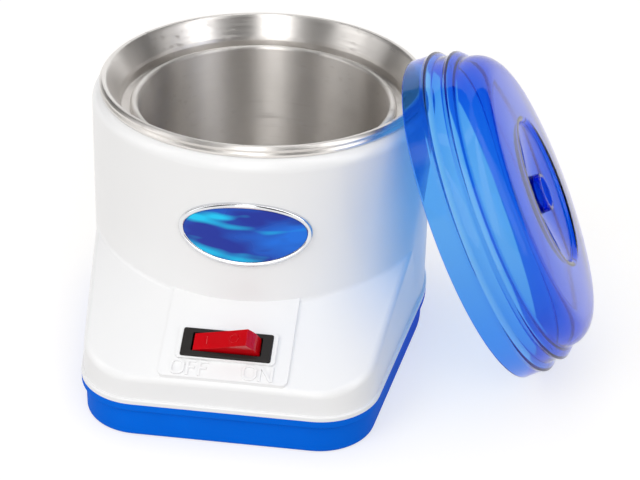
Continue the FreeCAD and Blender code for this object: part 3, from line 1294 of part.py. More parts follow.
doc.recompute()
pieces = [
    housing_shell, base_tray, foot_pads, base_screws, badge_ring, badge_inlay, cord_gland,
    steel_collar, heating_well, wax_bowl, mica_top, heating_ribbon, mica_bottom, pressure_plate,
    centre_stud, clamp_nut, heater_terminals, thermostat, thermostat_screws, thermal_fuse, fuse_clip,
    heat_shield, shield_posts, well_brackets, bracket_screws, switch_housing, switch_rocker, rocker_pin,
    neon_lamp, switch_terminals, terminal_block, switch_lead, fuse_lead, thermostat_lead, heater_lead,
    return_lead, lid_shell, lid_knob,
]
for feature in doc.Objects:
    if "Invalid" in feature.State or "Error" in feature.State:
        raise RuntimeError("%s did not recompute: %s" % (feature.Label, feature.State))
os.makedirs("parts", exist_ok=True)
for piece in pieces:
    shape = piece.Shape
    if shape.isNull() or not shape.isValid():
        raise RuntimeError("%s has no valid shape" % piece.Label)
    shape.exportStep("parts/%s.step" % piece.Label)
    box = shape.BoundBox
    print("%-18s solids %d volume %9.1f  x %.1f..%.1f y %.1f..%.1f z %.1f..%.1f" % (
        piece.Label, len(shape.Solids), shape.Volume,
        box.XMin, box.XMax, box.YMin, box.YMax, box.ZMin, box.ZMax))
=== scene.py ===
import math

import bmesh
import bpy
from mathutils import Matrix, Vector


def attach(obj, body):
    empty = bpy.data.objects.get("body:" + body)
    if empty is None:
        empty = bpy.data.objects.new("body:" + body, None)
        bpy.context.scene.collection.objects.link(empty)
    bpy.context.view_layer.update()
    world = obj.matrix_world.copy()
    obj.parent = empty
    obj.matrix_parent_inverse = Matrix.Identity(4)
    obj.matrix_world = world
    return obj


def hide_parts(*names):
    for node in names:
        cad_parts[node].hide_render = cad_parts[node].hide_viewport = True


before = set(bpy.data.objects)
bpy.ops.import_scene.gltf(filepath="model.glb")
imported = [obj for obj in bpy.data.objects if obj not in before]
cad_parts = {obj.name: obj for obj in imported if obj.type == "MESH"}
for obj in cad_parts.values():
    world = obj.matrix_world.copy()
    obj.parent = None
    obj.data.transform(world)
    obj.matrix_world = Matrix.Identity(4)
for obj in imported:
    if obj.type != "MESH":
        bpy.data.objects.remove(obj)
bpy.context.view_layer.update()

# ---------------------------------------------------------------- housing
# The housing is one injection moulding in glossy white ABS: a drum for the pot, a plinth with a
# sloping switch panel, and inside it the screw posts and lugs. OFF and ON stand out of the panel.

MM = 0.001


class Wiring:
    """Short ways to add nodes to a tree and to wire them."""

    def __init__(self, tree):
        self.tree = tree

    def feed(self, socket, value):
        """Links a socket to another node's output, or sets it."""
        if isinstance(value, bpy.types.NodeSocket):
            self.tree.links.new(value, socket)
        else:
            socket.default_value = value

    def add(self, kind, inputs=None, **settings):
        """A node with its settings and its inputs filled in."""
        plain = kind.startswith(("Geometry", "Function"))
        node = self.tree.nodes.new(kind if plain else "ShaderNode" + kind)
        for name, value in settings.items():
            setattr(node, name, value)
        for key, value in (inputs or {}).items():
            self.feed(node.inputs[key], value)
        return node

    def sum(self, operation, first, second=0.0, third=0.0):
        """One arithmetic step."""
        return self.add("Math", {0: first, 1: second, 2: third}, operation=operation).outputs[0]

    def span(self, value, low, high, low_out=0.0, high_out=1.0):
        """A value carried from one range to another, held at the ends."""
        node = self.add("MapRange", {"Value": value, "From Min": low, "From Max": high,
                                     "To Min": low_out, "To Max": high_out})
        return node.outputs["Result"]

    def blend(self, share, first, second):
        """Two colours mixed by a share."""
        node = self.add("Mix", {0: share, 6: first, 7: second}, data_type="RGBA")
        return node.outputs[2]

    def noise(self, vector, scale, detail=2.0, roughness=0.5):
        """Cloudy noise from nought to one."""
        node = self.add("TexNoise", {"Vector": vector, "Scale": scale, "Detail": detail,
                                     "Roughness": roughness})
        return node.outputs["Fac"]

    def stretched(self, vector, turn=(0, 0, 0), scale=(1, 1, 1)):
        """Coordinates turned and then scaled."""
        node = self.add("Mapping", {"Vector": vector, "Rotation": turn, "Scale": scale})
        return node.outputs["Vector"]


class Finish(Wiring):
    """A material whose shader takes its constants from the names given."""

    def __init__(self, name, **constants):
        self.material = bpy.data.materials.new(name)
        self.material.use_nodes = True
        super().__init__(self.material.node_tree)
        self.shader = self.tree.nodes["Principled BSDF"]
        for socket, value in constants.items():
            self.shader.inputs[socket.replace("_", " ")].default_value = value
        self.place = self.add("TexCoord").outputs["Object"]

    def dress(self, colour=None, roughness=None, height=None, depth=0.05, strength=1.0):
        """Wires colour, roughness and a bump that is depth millimetres deep."""
        if colour is not None:
            self.feed(self.shader.inputs["Base Color"], colour)
        if roughness is not None:
            self.feed(self.shader.inputs["Roughness"], roughness)
        if height is not None:
            bump = self.add("Bump", {"Height": height, "Strength": strength, "Distance": depth * MM})
            self.feed(self.shader.inputs["Normal"], bump.outputs["Normal"])
        return self.material


def node_group(name, inputs, outputs, family="Shader"):
    """A new group with named sockets, its wiring and its two ends."""
    tree = bpy.data.node_groups.new(name, family + "NodeTree")
    for label, kind, value in inputs:
        socket = tree.interface.new_socket(label, in_out="INPUT", socket_type="NodeSocket" + kind)
        if value is not None:
            socket.default_value = value
    for label, kind in outputs:
        tree.interface.new_socket(label, in_out="OUTPUT", socket_type="NodeSocket" + kind)
    start = tree.nodes.new("NodeGroupInput").outputs
    end = tree.nodes.new("NodeGroupOutput").inputs
    return tree, Wiring(tree), start, end


# Moulded plastic: a faint cloudiness from the melt's flow, and a fine skin copied from the tool.
moulded_skin, wiring, start, end = node_group(
    "moulded_skin",
    [("Place", "Vector", None), ("Colour", "Color", (0.8, 0.8, 0.8, 1)),
     ("Shade", "Color", (0.7, 0.7, 0.7, 1)), ("Gloss", "Float", 0.25), ("Grain Scale", "Float", 2500.0)],
    [("Colour", "Color"), ("Roughness", "Float"), ("Height", "Float")])
flow = wiring.noise(start["Place"], 28.0, 3.0, 0.55)
skin = wiring.noise(start["Place"], start["Grain Scale"], 2.0, 0.6)
wiring.feed(end["Colour"], wiring.blend(wiring.span(flow, 0.35, 0.75), start["Colour"], start["Shade"]))
wiring.feed(end["Roughness"], wiring.sum(
    "ADD", start["Gloss"], wiring.span(wiring.noise(start["Place"], 70.0, 4.0, 0.6), 0.3, 0.7, -0.015, 0.03)))
wiring.feed(end["Height"], skin)

# Handling marks: hairline rubs in three directions, patchy as on a piece that has been used.
hairlines, wiring, start, end = node_group(
    "hairlines",
    [("Place", "Vector", None), ("Line Scale", "Float", 400.0), ("Amount", "Float", 0.5)],
    [("Marks", "Float")])
marks = None
for turn in ((0.4, 0.2, 0.3), (1.3, 0.7, 2.1), (0.8, 2.4, 1.2)):
    lines = wiring.stretched(start["Place"], turn, (0.035, 1.0, 1.0))
    line = wiring.span(wiring.noise(lines, start["Line Scale"], 1.0, 0.4), 0.66, 0.74)
    marks = line if marks is None else wiring.sum("MAXIMUM", marks, line)
patch = wiring.span(wiring.noise(start["Place"], 45.0, 2.0), 0.45, 0.62)
wiring.feed(end["Marks"], wiring.sum("MULTIPLY", wiring.sum("MULTIPLY", marks, patch), start["Amount"]))


def use(finish, group, **inputs):
    """A shader group placed in a material, reading object coordinates."""
    node = finish.add("Group", node_tree=group)
    finish.feed(node.inputs["Place"], finish.place)
    for name, value in inputs.items():
        finish.feed(node.inputs[name.replace("_", " ")], value)
    return node.outputs


def moulded(name, colour, shade, gloss, grain=2500.0, depth=0.01, marks=0.0, **constants):
    """An injection-moulded plastic with its flow, its skin and a few rubs."""
    finish = Finish(name, **constants)
    skin = use(finish, moulded_skin, Colour=(*colour, 1), Shade=(*shade, 1), Gloss=gloss, Grain_Scale=grain)
    roughness = skin["Roughness"]
    if marks:
        rubs = use(finish, hairlines, Line_Scale=600.0, Amount=marks)
        roughness = finish.sum("ADD", roughness, finish.sum("MULTIPLY", rubs["Marks"], 0.25))
    return finish.dress(skin["Colour"], roughness, skin["Height"], depth)


def keep_node(node, material):
    """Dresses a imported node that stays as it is."""
    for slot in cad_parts[node].material_slots:
        slot.material = material


white_shell = moulded("white_shell", (0.885, 0.884, 0.886), (0.873, 0.873, 0.878), 0.30,
                      grain=1800.0, depth=0.0008, marks=0.06, Coat_Weight=0.2, Coat_Roughness=0.15)
keep_node("housing_shell", white_shell)

# ---------------------------------------------------------------- badge
# The badge is a chromed oval ring snapped to the front of the drum, with a printed and clear-coated
# inlay behind it. The inlay carries only bands of blue.

drum_low_radius = 64.0
drum_low_height = 14.2
drum_top_radius = 62.8
drum_top_height = 95.7
badge_turn = math.radians(2.8)
badge_height = 67.8
badge_half_width = 23.3
badge_half_height = 12.3
badge_ring_width = 1.9
badge_stand = 1.5
badge_sink = 0.5
badge_steps = 144
plastic_crease = math.radians(32.0)


def on_drum(across, up, out):
    """A place on the drum's front, from the badge's centre, in metres."""
    height = badge_height + up
    share = (height - drum_low_height) / (drum_top_height - drum_low_height)
    radius = drum_low_radius + (drum_top_radius - drum_low_radius) * share + out
    angle = math.asin(across / radius) + badge_turn
    return Vector((radius * math.sin(angle), -radius * math.cos(angle), height)) * MM


def oval_point(step, inset):
    """A point of the badge's oval, drawn in by inset."""
    turn = 2 * math.pi * step / badge_steps
    return ((badge_half_width - inset) * math.cos(turn), (badge_half_height - inset) * math.sin(turn))


def closed_up(mesh, smooth=True, crease=plastic_crease):
    """Merges a mesh's doubles, turns its faces outwards and smooths it up to a crease."""
    form = bmesh.new()
    form.from_mesh(mesh)
    bmesh.ops.remove_doubles(form, verts=form.verts, dist=0.0005 * MM)
    bmesh.ops.recalc_face_normals(form, faces=form.faces)
    form.to_mesh(mesh)
    form.free()
    if smooth:
        mesh.shade_smooth()
        mesh.set_sharp_from_angle(angle=crease)


def mesh_piece(name, points, faces, smooth=True, crease=plastic_crease):
    """An object from points in metres and the faces between them."""
    mesh = bpy.data.meshes.new(name)
    mesh.from_pydata(points, [], faces)
    closed_up(mesh, smooth, crease)
    piece = bpy.data.objects.new(name, mesh)
    bpy.context.scene.collection.objects.link(piece)
    return piece


def fit(piece, material, body, slot, *nodes):
    """Gives a finished piece its material and its body, and hides the nodes it stands for."""
    piece.data.materials.clear()
    piece.data.materials.append(material)
    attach(piece, body)
    if nodes:
        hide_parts(*nodes)
    return piece


ring_section = [(0.0, 0.0), (0.0, 0.75), (0.12, 1.1), (0.4, 1.38), (0.8, 1.5), (1.15, 1.48),
                (1.5, 1.3), (1.75, 1.05), (badge_ring_width, 0.7), (badge_ring_width, 0.0)]
ring_points = []
ring_faces = []
for step in range(badge_steps):
    for inset, out in ring_section:
        ring_points.append(on_drum(*oval_point(step, inset), out))
section_count = len(ring_section)
for step in range(badge_steps):
    following = (step + 1) % badge_steps
    for spot in range(section_count):
        beside = (spot + 1) % section_count
        ring_faces.append((step * section_count + spot, following * section_count + spot,
                           following * section_count + beside, step * section_count + beside))
ring = mesh_piece("badge_rim", ring_points, ring_faces, crease=math.radians(50.0))

chrome = Finish("badge_chrome", Metallic=1.0)
plating = chrome.noise(chrome.place, 220.0, 3.0)
badge_chrome = chrome.dress(
    chrome.blend(plating, (0.78, 0.79, 0.81, 1), (0.70, 0.71, 0.74, 1)),
    chrome.sum("ADD", chrome.span(plating, 0.3, 0.7, 0.07, 0.14),
               use(chrome, hairlines, Line_Scale=900.0, Amount=0.2)["Marks"]))
fit(ring, badge_chrome, "base", "badge_chrome", "badge_ring")

inlay_rings = 12
inlay_face = badge_stand - badge_sink
inlay_points = []
inlay_faces = []
for loop in range(inlay_rings + 1):
    reach = 1.0 - loop / inlay_rings
    for step in range(badge_steps):
        across, up = oval_point(step, badge_ring_width)
        dome = 0.25 * (1.0 - reach ** 2)
        inlay_points.append(on_drum(across * reach, up * reach, inlay_face + dome))
for step in range(badge_steps):
    inlay_points.append(on_drum(*oval_point(step, badge_ring_width), 0.0))
back_loop = (inlay_rings + 1) * badge_steps
for loop in range(inlay_rings):
    for step in range(badge_steps):
        following = (step + 1) % badge_steps
        inlay_faces.append((loop * badge_steps + step, loop * badge_steps + following,
                            (loop + 1) * badge_steps + following, (loop + 1) * badge_steps + step))
for step in range(badge_steps):
    following = (step + 1) % badge_steps
    inlay_faces.append((step, following, back_loop + following, back_loop + step))
inlay_faces.append(tuple(back_loop + step for step in range(badge_steps)))
inlay = mesh_piece("badge_face", inlay_points, inlay_faces, crease=math.radians(50.0))

print_finish = Finish("badge_print", Coat_Weight=0.35, Coat_Roughness=0.05, Specular_IOR_Level=0.2)
spread = print_finish.stretched(print_finish.place, (0, 0.35, 0), (26.0, 8.0, 70.0))
swirl = print_finish.noise(spread, 1.0, 2.5, 0.45)
across_bands = print_finish.stretched(print_finish.place, (0, -0.3, 0), (30.0, 6.0, 120.0))
band = print_finish.noise(across_bands, 1.0, 2.0)
print_colour = print_finish.blend(
    print_finish.span(swirl, 0.42, 0.60), (0.0, 0.022, 0.34, 1), (0.0, 0.17, 0.80, 1))
print_colour = print_finish.blend(print_finish.span(band, 0.55, 0.66), print_colour, (0.0, 0.60, 0.95, 1))
print_colour = print_finish.blend(print_finish.span(band, 0.44, 0.34), print_colour, (0.0, 0.008, 0.26, 1))
badge_blue = print_finish.dress(print_colour, print_finish.span(swirl, 0.3, 0.7, 0.22, 0.34))
fit(inlay, badge_blue, "base", "badge_blue", "badge_inlay")

# ---------------------------------------------------------------- rocker switch
# A bought-in illuminated rocker switch: black polyamide body snapped into the panel, a clear red
# rocker on a steel pin, a neon lamp under it, and three tinned brass blades below.

panel_slope = math.radians(27.6)
panel_seat = Vector((0.0, -79.903, 32.485)) * MM
panel_turn = Matrix.Rotation(panel_slope, 4, "X")
panel_frame = Matrix.Translation(panel_seat) @ panel_turn
pin_drop = 3.0
bezel_thickness = 1.6
pivot_place = panel_frame @ Matrix.Translation(Vector((0, 0, (bezel_thickness - pin_drop) * MM)))
rocker_tilt = math.radians(19.0)
rocker_frame = pivot_place @ Matrix.Rotation(-rocker_tilt, 4, "Y")
rocker_crest = 3.2 + pin_drop
rocker_face_angle = math.radians(1.0)


def welded_copy(node, name, crease=plastic_crease, bevel=0.0):
    """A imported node's mesh with its triangles joined, smooth up to a crease and eased at its edges."""
    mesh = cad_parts[node].data.copy()
    mesh.name = name
    mesh.materials.clear()
    form = bmesh.new()
    form.from_mesh(mesh)
    bmesh.ops.remove_doubles(form, verts=form.verts, dist=0.002 * MM)
    bmesh.ops.dissolve_limit(form, angle_limit=math.radians(0.06), verts=form.verts, edges=form.edges)
    form.to_mesh(mesh)
    form.free()
    mesh.shade_smooth()
    mesh.set_sharp_from_angle(angle=crease)
    piece = bpy.data.objects.new(name, mesh)
    bpy.context.scene.collection.objects.link(piece)
    if bevel:
        edge = piece.modifiers.new("eased_edges", "BEVEL")
        edge.width = bevel * MM
        edge.segments = 2
        edge.limit_method = "ANGLE"
        edge.angle_limit = math.radians(40.0)
        edge.harden_normals = False
    normals = piece.modifiers.new("even_normals", "WEIGHTED_NORMAL")
    normals.keep_sharp = True
    normals.weight = 90
    return piece


black_bezel = moulded("black_bezel", (0.014, 0.012, 0.011), (0.020, 0.018, 0.017), 0.42,
                      grain=1400.0, depth=0.015, marks=0.3, Specular_IOR_Level=0.25)
fit(welded_copy("switch_housing", "switch_body", bevel=0.12), black_bezel, "base", "black_bezel",
    "switch_housing")

red_plastic = Finish("red_rocker", Transmission_Weight=0.25, IOR=1.5, Specular_IOR_Level=0.35)
red_skin = use(red_plastic, moulded_skin, Colour=(0.86, 0.0, 0.008, 1), Shade=(0.62, 0.0, 0.005, 1),
               Gloss=0.12, Grain_Scale=1500.0)
red_rocker = red_plastic.dress(red_skin["Colour"], red_skin["Roughness"], red_skin["Height"], 0.003)
fit(welded_copy("switch_rocker", "rocker", bevel=0.22), red_rocker, "rocker", "red_rocker", "switch_rocker")


# Anything turned: an outline in radius and height is swept round a hub's circle and closed up.
lathe, wiring, start, end = node_group(
    "lathe", [("Outline", "Geometry", None), ("Steps", "Int", 96), ("Hub", "Float", 0.05)],
    [("Turned", "Geometry")], family="Geometry")
rail = wiring.add("GeometryNodeCurvePrimitiveCircle", {"Resolution": start["Steps"], "Radius": start["Hub"]})
section = wiring.add("GeometryNodeMeshToCurve", {"Mesh": start["Outline"]})
swept = wiring.add("GeometryNodeCurveToMesh", {
    "Curve": rail.outputs["Curve"], "Profile Curve": section.outputs["Curve"]})
closed = wiring.add("GeometryNodeMergeByDistance", {
    "Geometry": swept.outputs["Mesh"], "Distance": 0.0005 * MM})
wiring.feed(end["Turned"], closed.outputs["Geometry"])

turned_piece, wiring, start, end = node_group(
    "turned_piece",
    [("Outline", "Geometry", None), ("Steps", "Int", 96), ("Hub", "Float", 0.05),
     ("Finish", "Material", None)],
    [("Piece", "Geometry")], family="Geometry")
turned = wiring.add("GeometryNodeGroup", node_tree=lathe)
for label in ("Outline", "Steps", "Hub"):
    wiring.feed(turned.inputs[label], start[label])
whole = wiring.add("GeometryNodeRealizeInstances", {"Geometry": turned.outputs["Turned"]})
dressed = wiring.add("GeometryNodeSetMaterial", {
    "Geometry": whole.outputs["Geometry"], "Material": start["Finish"]})
wiring.feed(end["Piece"], dressed.outputs["Geometry"])


def rounded(corners):
    """An outline in radius and height, with an arc at each corner that gives a third number."""
    outline = []
    count = len(corners)
    for index, corner in enumerate(corners):
        here = Vector(corner[:2])
        if len(corner) < 3 or corner[2] == 0:
            outline.append(here)
            continue
        before = Vector(corners[index - 1][:2]) - here
        after = Vector(corners[(index + 1) % count][:2]) - here
        half = before.angle(after) / 2
        setback = min(corner[2] / math.tan(half), 0.97 * before.length, 0.97 * after.length)
        radius = setback * math.tan(half)
        centre = here + (before.normalized() + after.normalized()).normalized() * (radius / math.sin(half))
        first = here + before.normalized() * setback - centre
        last = here + after.normalized() * setback - centre
        sweep = first.angle_signed(last)
        steps = max(2, int(abs(math.degrees(sweep)) / 12))
        for step in range(steps + 1):
            outline.append(centre + Matrix.Rotation(-sweep * step / steps, 2) @ first)
    return outline


def outline_mesh(name, corners, hub):
    """The outline as a line of edges, measured from the hub's circle; open where it starts on the axis."""
    outline = rounded(corners)
    count = len(outline)
    edges = [(spot, spot + 1) for spot in range(count - 1)]
    if outline[0].x > 0:
        edges.append((count - 1, 0))
    mesh = bpy.data.meshes.new(name + "_outline")
    mesh.from_pydata([((spot.x - hub) * MM, -spot.y * MM, 0) for spot in outline], edges, [])
    return mesh


def grown(name, tree, outline, crease, **inputs):
    """A plain mesh piece from a geometry tree whose inputs are set before it is worked out."""
    piece = bpy.data.objects.new(name, outline)
    bpy.context.scene.collection.objects.link(piece)
    shaping = piece.modifiers.new("shaping", "NODES")
    shaping.node_group = tree
    for socket in tree.interface.items_tree:
        label = socket.name.replace(" ", "_")
        if socket.in_out == "INPUT" and label in inputs:
            shaping[socket.identifier] = inputs[label]
    worked_out = piece.evaluated_get(bpy.context.evaluated_depsgraph_get())
    mesh = bpy.data.meshes.new_from_object(worked_out)
    mesh.name = name
    piece.modifiers.clear()
    piece.data = mesh
    closed_up(mesh, crease=crease)
    return piece


def spun(name, corners, material, place=Matrix.Identity(4), steps=176):
    """One turned piece, moved by place to where it belongs."""
    hub = max(corner[0] for corner in corners)
    piece = grown(name, turned_piece, outline_mesh(name, corners, hub), math.radians(38.0),
                  Steps=steps, Hub=hub * MM, Finish=material)
    piece.data.transform(place)
    return piece


def rocker_face(distance, side):
    """The frame on a face of the rocker's valley, at a distance from the valley."""
    climb = distance * math.tan(rocker_face_angle)
    spot = Matrix.Translation(Vector((side * distance, 0, rocker_crest + climb)) * MM)
    return rocker_frame @ spot @ Matrix.Rotation(-side * rocker_face_angle, 4, "Y")


mark_radius = 1.55
mark_half_width = 0.25
mark_height = 0.22
off_ring = spun("off_ring", [
    (mark_radius - mark_half_width, -0.2), (mark_radius - mark_half_width, mark_height, 0.15),
    (mark_radius + mark_half_width, mark_height, 0.15), (mark_radius + mark_half_width, -0.2)],
    red_rocker, rocker_face(5.2, 1), steps=48)
fit(off_ring, red_rocker, "rocker", "red_rocker")

on_bar_frame = rocker_face(5.2, -1)
bar_half_width = 0.28
bar_half_length = 1.7
bar_points = []
for up, shrink in ((-0.2, 0.0), (0.14, 0.0), (0.22, 0.12)):
    for x, y in ((-1, -1), (1, -1), (1, 1), (-1, 1)):
        spot = Vector((x * (bar_half_width - shrink), y * (bar_half_length - shrink), up)) * MM
        bar_points.append(on_bar_frame @ spot)
bar_faces = [(0, 1, 2, 3), (8, 9, 10, 11)]
for level in (0, 4):
    for corner in range(4):
        beside = (corner + 1) % 4
        bar_faces.append((level + corner, level + beside, level + 4 + beside, level + 4 + corner))
fit(mesh_piece("on_bar", bar_points, bar_faces), red_rocker, "rocker", "red_rocker")


def plated(name, colour, shade, low=0.18, high=0.36, scale=260.0, lines=500.0, marks=0.4, depth=0.004):
    """A plated or rolled metal part with a mottled sheen and fine rubs."""
    finish = Finish(name, Metallic=1.0)
    mottle = finish.noise(finish.place, scale, 4.0, 0.6)
    rubs = use(finish, hairlines, Line_Scale=lines, Amount=marks)["Marks"]
    roughness = finish.sum("ADD", finish.span(mottle, 0.3, 0.7, low, high),
                           finish.sum("MULTIPLY", rubs, 0.2))
    return finish.dress(finish.blend(mottle, (*colour, 1), (*shade, 1)), roughness,
                        finish.sum("SUBTRACT", mottle, rubs), depth)


pin_steel = plated("pin_steel", (0.60, 0.60, 0.62), (0.50, 0.50, 0.52))
blade_tin = plated("blade_tin", (0.72, 0.70, 0.64), (0.60, 0.58, 0.52), low=0.22, high=0.42)
keep_node("rocker_pin", pin_steel)
keep_node("switch_terminals", blade_tin)

lamp = Finish("lamp_glass", Transmission_Weight=0.8, IOR=1.47)
lamp_cloud = lamp.noise(lamp.place, 900.0, 3.0)
lamp_glass = lamp.dress(lamp.blend(lamp_cloud, (0.95, 0.55, 0.32, 1), (0.95, 0.78, 0.62, 1)),
                        lamp.span(lamp_cloud, 0.3, 0.7, 0.03, 0.1))
keep_node("neon_lamp", lamp_glass)

# ---------------------------------------------------------------- steel collar
# The collar is spun from polished stainless sheet: a beaded band under a rolled rim, a funnel down
# to an upright throat, and the ledge that the bowl hangs on. It is welded to the well.

turned_steel, wiring, start, end = node_group(
    "turned_steel",
    [("Place", "Vector", None), ("Line Scale", "Float", 900.0), ("Sheen", "Float", 0.16)],
    [("Colour", "Color"), ("Roughness", "Float"), ("Height", "Float")])
parts = wiring.add("SeparateXYZ", {0: start["Place"]}).outputs
reach = wiring.sum("SQRT", wiring.sum("ADD", wiring.sum("MULTIPLY", parts["X"], parts["X"]),
                                      wiring.sum("MULTIPLY", parts["Y"], parts["Y"])))
drift = wiring.sum("MULTIPLY", wiring.noise(start["Place"], 30.0, 2.0), 0.0015)
across = wiring.add("CombineXYZ", {0: reach, 1: parts["Z"], 2: drift}).outputs[0]
lathe_lines = wiring.noise(across, start["Line Scale"], 5.0, 0.7)
cloud = wiring.noise(start["Place"], 40.0, 4.0, 0.6)
wiring.feed(end["Colour"], wiring.blend(cloud, (0.88, 0.85, 0.82, 1), (0.77, 0.74, 0.71, 1)))
wiring.feed(end["Roughness"], wiring.sum(
    "ADD", wiring.sum("ADD", start["Sheen"], wiring.span(cloud, 0.3, 0.7, -0.03, 0.05)),
    wiring.span(lathe_lines, 0.35, 0.65, -0.05, 0.07)))
wiring.feed(end["Height"], lathe_lines)


def brushed(name, lines, sheen, marks, anisotropy):
    """Spun stainless steel: its fine lines run round the axis, so highlights spread across them."""
    finish = Finish(name, Metallic=1.0, Anisotropic=anisotropy, Anisotropic_Rotation=0.25)
    tangent = finish.add("Tangent", direction_type="RADIAL", axis="Z")
    finish.feed(finish.shader.inputs["Tangent"], tangent.outputs[0])
    skin = use(finish, turned_steel, Line_Scale=lines, Sheen=sheen)
    rubs = use(finish, hairlines, Line_Scale=420.0, Amount=marks)["Marks"]
    return finish, skin, rubs


steel, steel_skin, steel_rubs = brushed("collar_steel", 900.0, 0.33, 1.0, 0.88)
collar_steel = steel.dress(steel_skin["Colour"],
                           steel.sum("ADD", steel_skin["Roughness"], steel.sum("MULTIPLY", steel_rubs, 0.30)),
                           steel.sum("ADD", steel_skin["Height"], steel_rubs), 0.008)
rim_radius = 60.0
rim_height = 99.5
band_height = 95.7
collar = spun("collar", [
    (rim_radius - 1.0, band_height), (rim_radius - 0.15, band_height, 0.2),
    (rim_radius, band_height + 0.9, 0.5),
    (rim_radius - 0.55, band_height + 1.75, 0.25), (rim_radius, band_height + 2.5, 0.6),
    (rim_radius, rim_height - 0.9, 0.5), (rim_radius - 0.9, rim_height, 0.6),
    (57.8, rim_height, 0.9), (57.0, rim_height - 1.2, 0.8),
    (53.3, 91.7, 1.6), (52.9, 90.4, 1.0), (52.9, 87.2, 0.8), (47.8, 87.2, 0.7), (47.8, 86.2),
    (53.7, 86.2, 0.6), (53.9, 90.9, 0.8), (58.0, rim_height - 1.0), (59.0, rim_height - 1.0),
    (59.0, band_height + 0.2)], collar_steel)
fit(collar, collar_steel, "base", "collar_steel", "steel_collar")

# ---------------------------------------------------------------- heating well
# The well is a deep-drawn steel cup under the collar. Its floor carries the heater, and it stays
# dull inside, because only the bowl touches it.

well_steel = plated("well_steel", (0.50, 0.49, 0.48), (0.40, 0.39, 0.385), low=0.28, high=0.45, scale=90.0)
keep_node("heating_well", well_steel)

# ---------------------------------------------------------------- heater
# The heater is a ribbon of resistance alloy between two mica sheets, pressed on the well's floor by
# a plate with one stud and nut. A bimetal thermostat and a thermal fuse sit against the plate.

mica = Finish("mica_sheet", Specular_IOR_Level=0.6, Coat_Weight=0.3, Coat_Roughness=0.2)
flakes = mica.add("TexVoronoi", {"Vector": mica.place, "Scale": 420.0}).outputs["Color"]
flake_shade = mica.add("SeparateColor", {0: flakes}).outputs[0]
mica_sheet = mica.dress(mica.blend(flake_shade, (0.42, 0.30, 0.14, 1), (0.62, 0.50, 0.28, 1)),
                        mica.span(flake_shade, 0.0, 1.0, 0.25, 0.5), flake_shade, 0.02)
ribbon_metal = plated("ribbon_metal", (0.23, 0.21, 0.20), (0.33, 0.29, 0.25), low=0.3, high=0.5)
plate_steel = plated("plate_steel", (0.55, 0.55, 0.56), (0.43, 0.44, 0.46), low=0.3, high=0.5, scale=120.0)
terminal_brass = plated("terminal_brass", (0.66, 0.48, 0.20), (0.52, 0.36, 0.14), low=0.2, high=0.4)
shield_aluminium = plated("shield_aluminium", (0.76, 0.77, 0.78), (0.66, 0.67, 0.68), low=0.3, high=0.5)
case_metal = plated("thermostat_case", (0.62, 0.60, 0.56), (0.50, 0.48, 0.45), low=0.25, high=0.4)
fuse_tube = plated("fuse_case", (0.70, 0.66, 0.52), (0.58, 0.54, 0.42), low=0.2, high=0.35)
screw_steel = plated("screw_steel", (0.60, 0.60, 0.61), (0.47, 0.48, 0.50), low=0.2, high=0.4)

clip_finish = Finish("clip_ceramic")
clip_grain = clip_finish.noise(clip_finish.place, 1600.0, 4.0, 0.65)
clip_ceramic = clip_finish.dress(
    clip_finish.blend(clip_grain, (0.78, 0.76, 0.70, 1), (0.68, 0.66, 0.60, 1)),
    clip_finish.span(clip_grain, 0.3, 0.7, 0.55, 0.75), clip_grain, 0.03)

heater_finishes = {
    "mica_top": mica_sheet, "mica_bottom": mica_sheet, "heating_ribbon": ribbon_metal,
    "pressure_plate": plate_steel, "centre_stud": screw_steel, "clamp_nut": screw_steel,
    "heater_terminals": terminal_brass, "thermostat": case_metal, "thermal_fuse": fuse_tube,
    "fuse_clip": clip_ceramic, "heat_shield": shield_aluminium}
for node, material in heater_finishes.items():
    keep_node(node, material)

# ---------------------------------------------------------------- brackets and screws
# Three angle brackets, spot-welded to the well, stand on the housing's lugs and are held there by
# zinc-plated self-tapping screws with cross-recessed pan heads. Two more hold the thermostat.

keep_node("well_brackets", plate_steel)

# A row of alike turned parts: a cross is pressed into the head where asked for, a copy stands on
# each place, and a seeded chance turns it.
turned_row, wiring, start, end = node_group(
    "turned_row",
    [("Outline", "Geometry", None), ("Places", "Object", None), ("Steps", "Int", 32), ("Hub", "Float", 0.003),
     ("Recessed", "Bool", True), ("Recess Length", "Float", 3.4 * MM), ("Recess Width", "Float", 0.75 * MM),
     ("Recess Depth", "Float", 1.1 * MM), ("Recess Height", "Float", 0.0), ("Turn Seed", "Int", 1),
     ("Finish", "Material", None)],
    [("Row", "Geometry")], family="Geometry")
turned = wiring.add("GeometryNodeGroup", node_tree=lathe)
for label in ("Outline", "Steps", "Hub"):
    wiring.feed(turned.inputs[label], start[label])
seat = wiring.add("CombineXYZ", {2: start["Recess Height"]}).outputs[0]
bar_size = wiring.add("CombineXYZ", {
    0: start["Recess Length"], 1: start["Recess Width"], 2: start["Recess Depth"]}).outputs[0]
pressed = wiring.add("GeometryNodeMeshBoolean", {"Mesh 1": turned.outputs["Turned"]}, operation="DIFFERENCE")
for turn in (0.0, math.pi / 2):
    bar = wiring.add("GeometryNodeMeshCube", {"Size": bar_size})
    cross = wiring.add("GeometryNodeTransform", {
        "Geometry": bar.outputs["Mesh"], "Translation": seat, "Rotation": (0.0, 0.0, turn)})
    wiring.feed(pressed.inputs["Mesh 2"], cross.outputs["Geometry"])
chosen = wiring.add("GeometryNodeSwitch", {
    "Switch": start["Recessed"], "False": turned.outputs["Turned"], "True": pressed.outputs["Mesh"]},
    input_type="GEOMETRY")
spots = wiring.add("GeometryNodeObjectInfo", {"Object": start["Places"]})
chance = wiring.add("FunctionNodeRandomValue", {2: 0.0, 3: math.pi, "Seed": start["Turn Seed"]},
                    data_type="FLOAT")
upright = wiring.add("CombineXYZ", {2: chance.outputs[1]}).outputs[0]
turn_of_each = wiring.add("FunctionNodeEulerToRotation", {"Euler": upright})
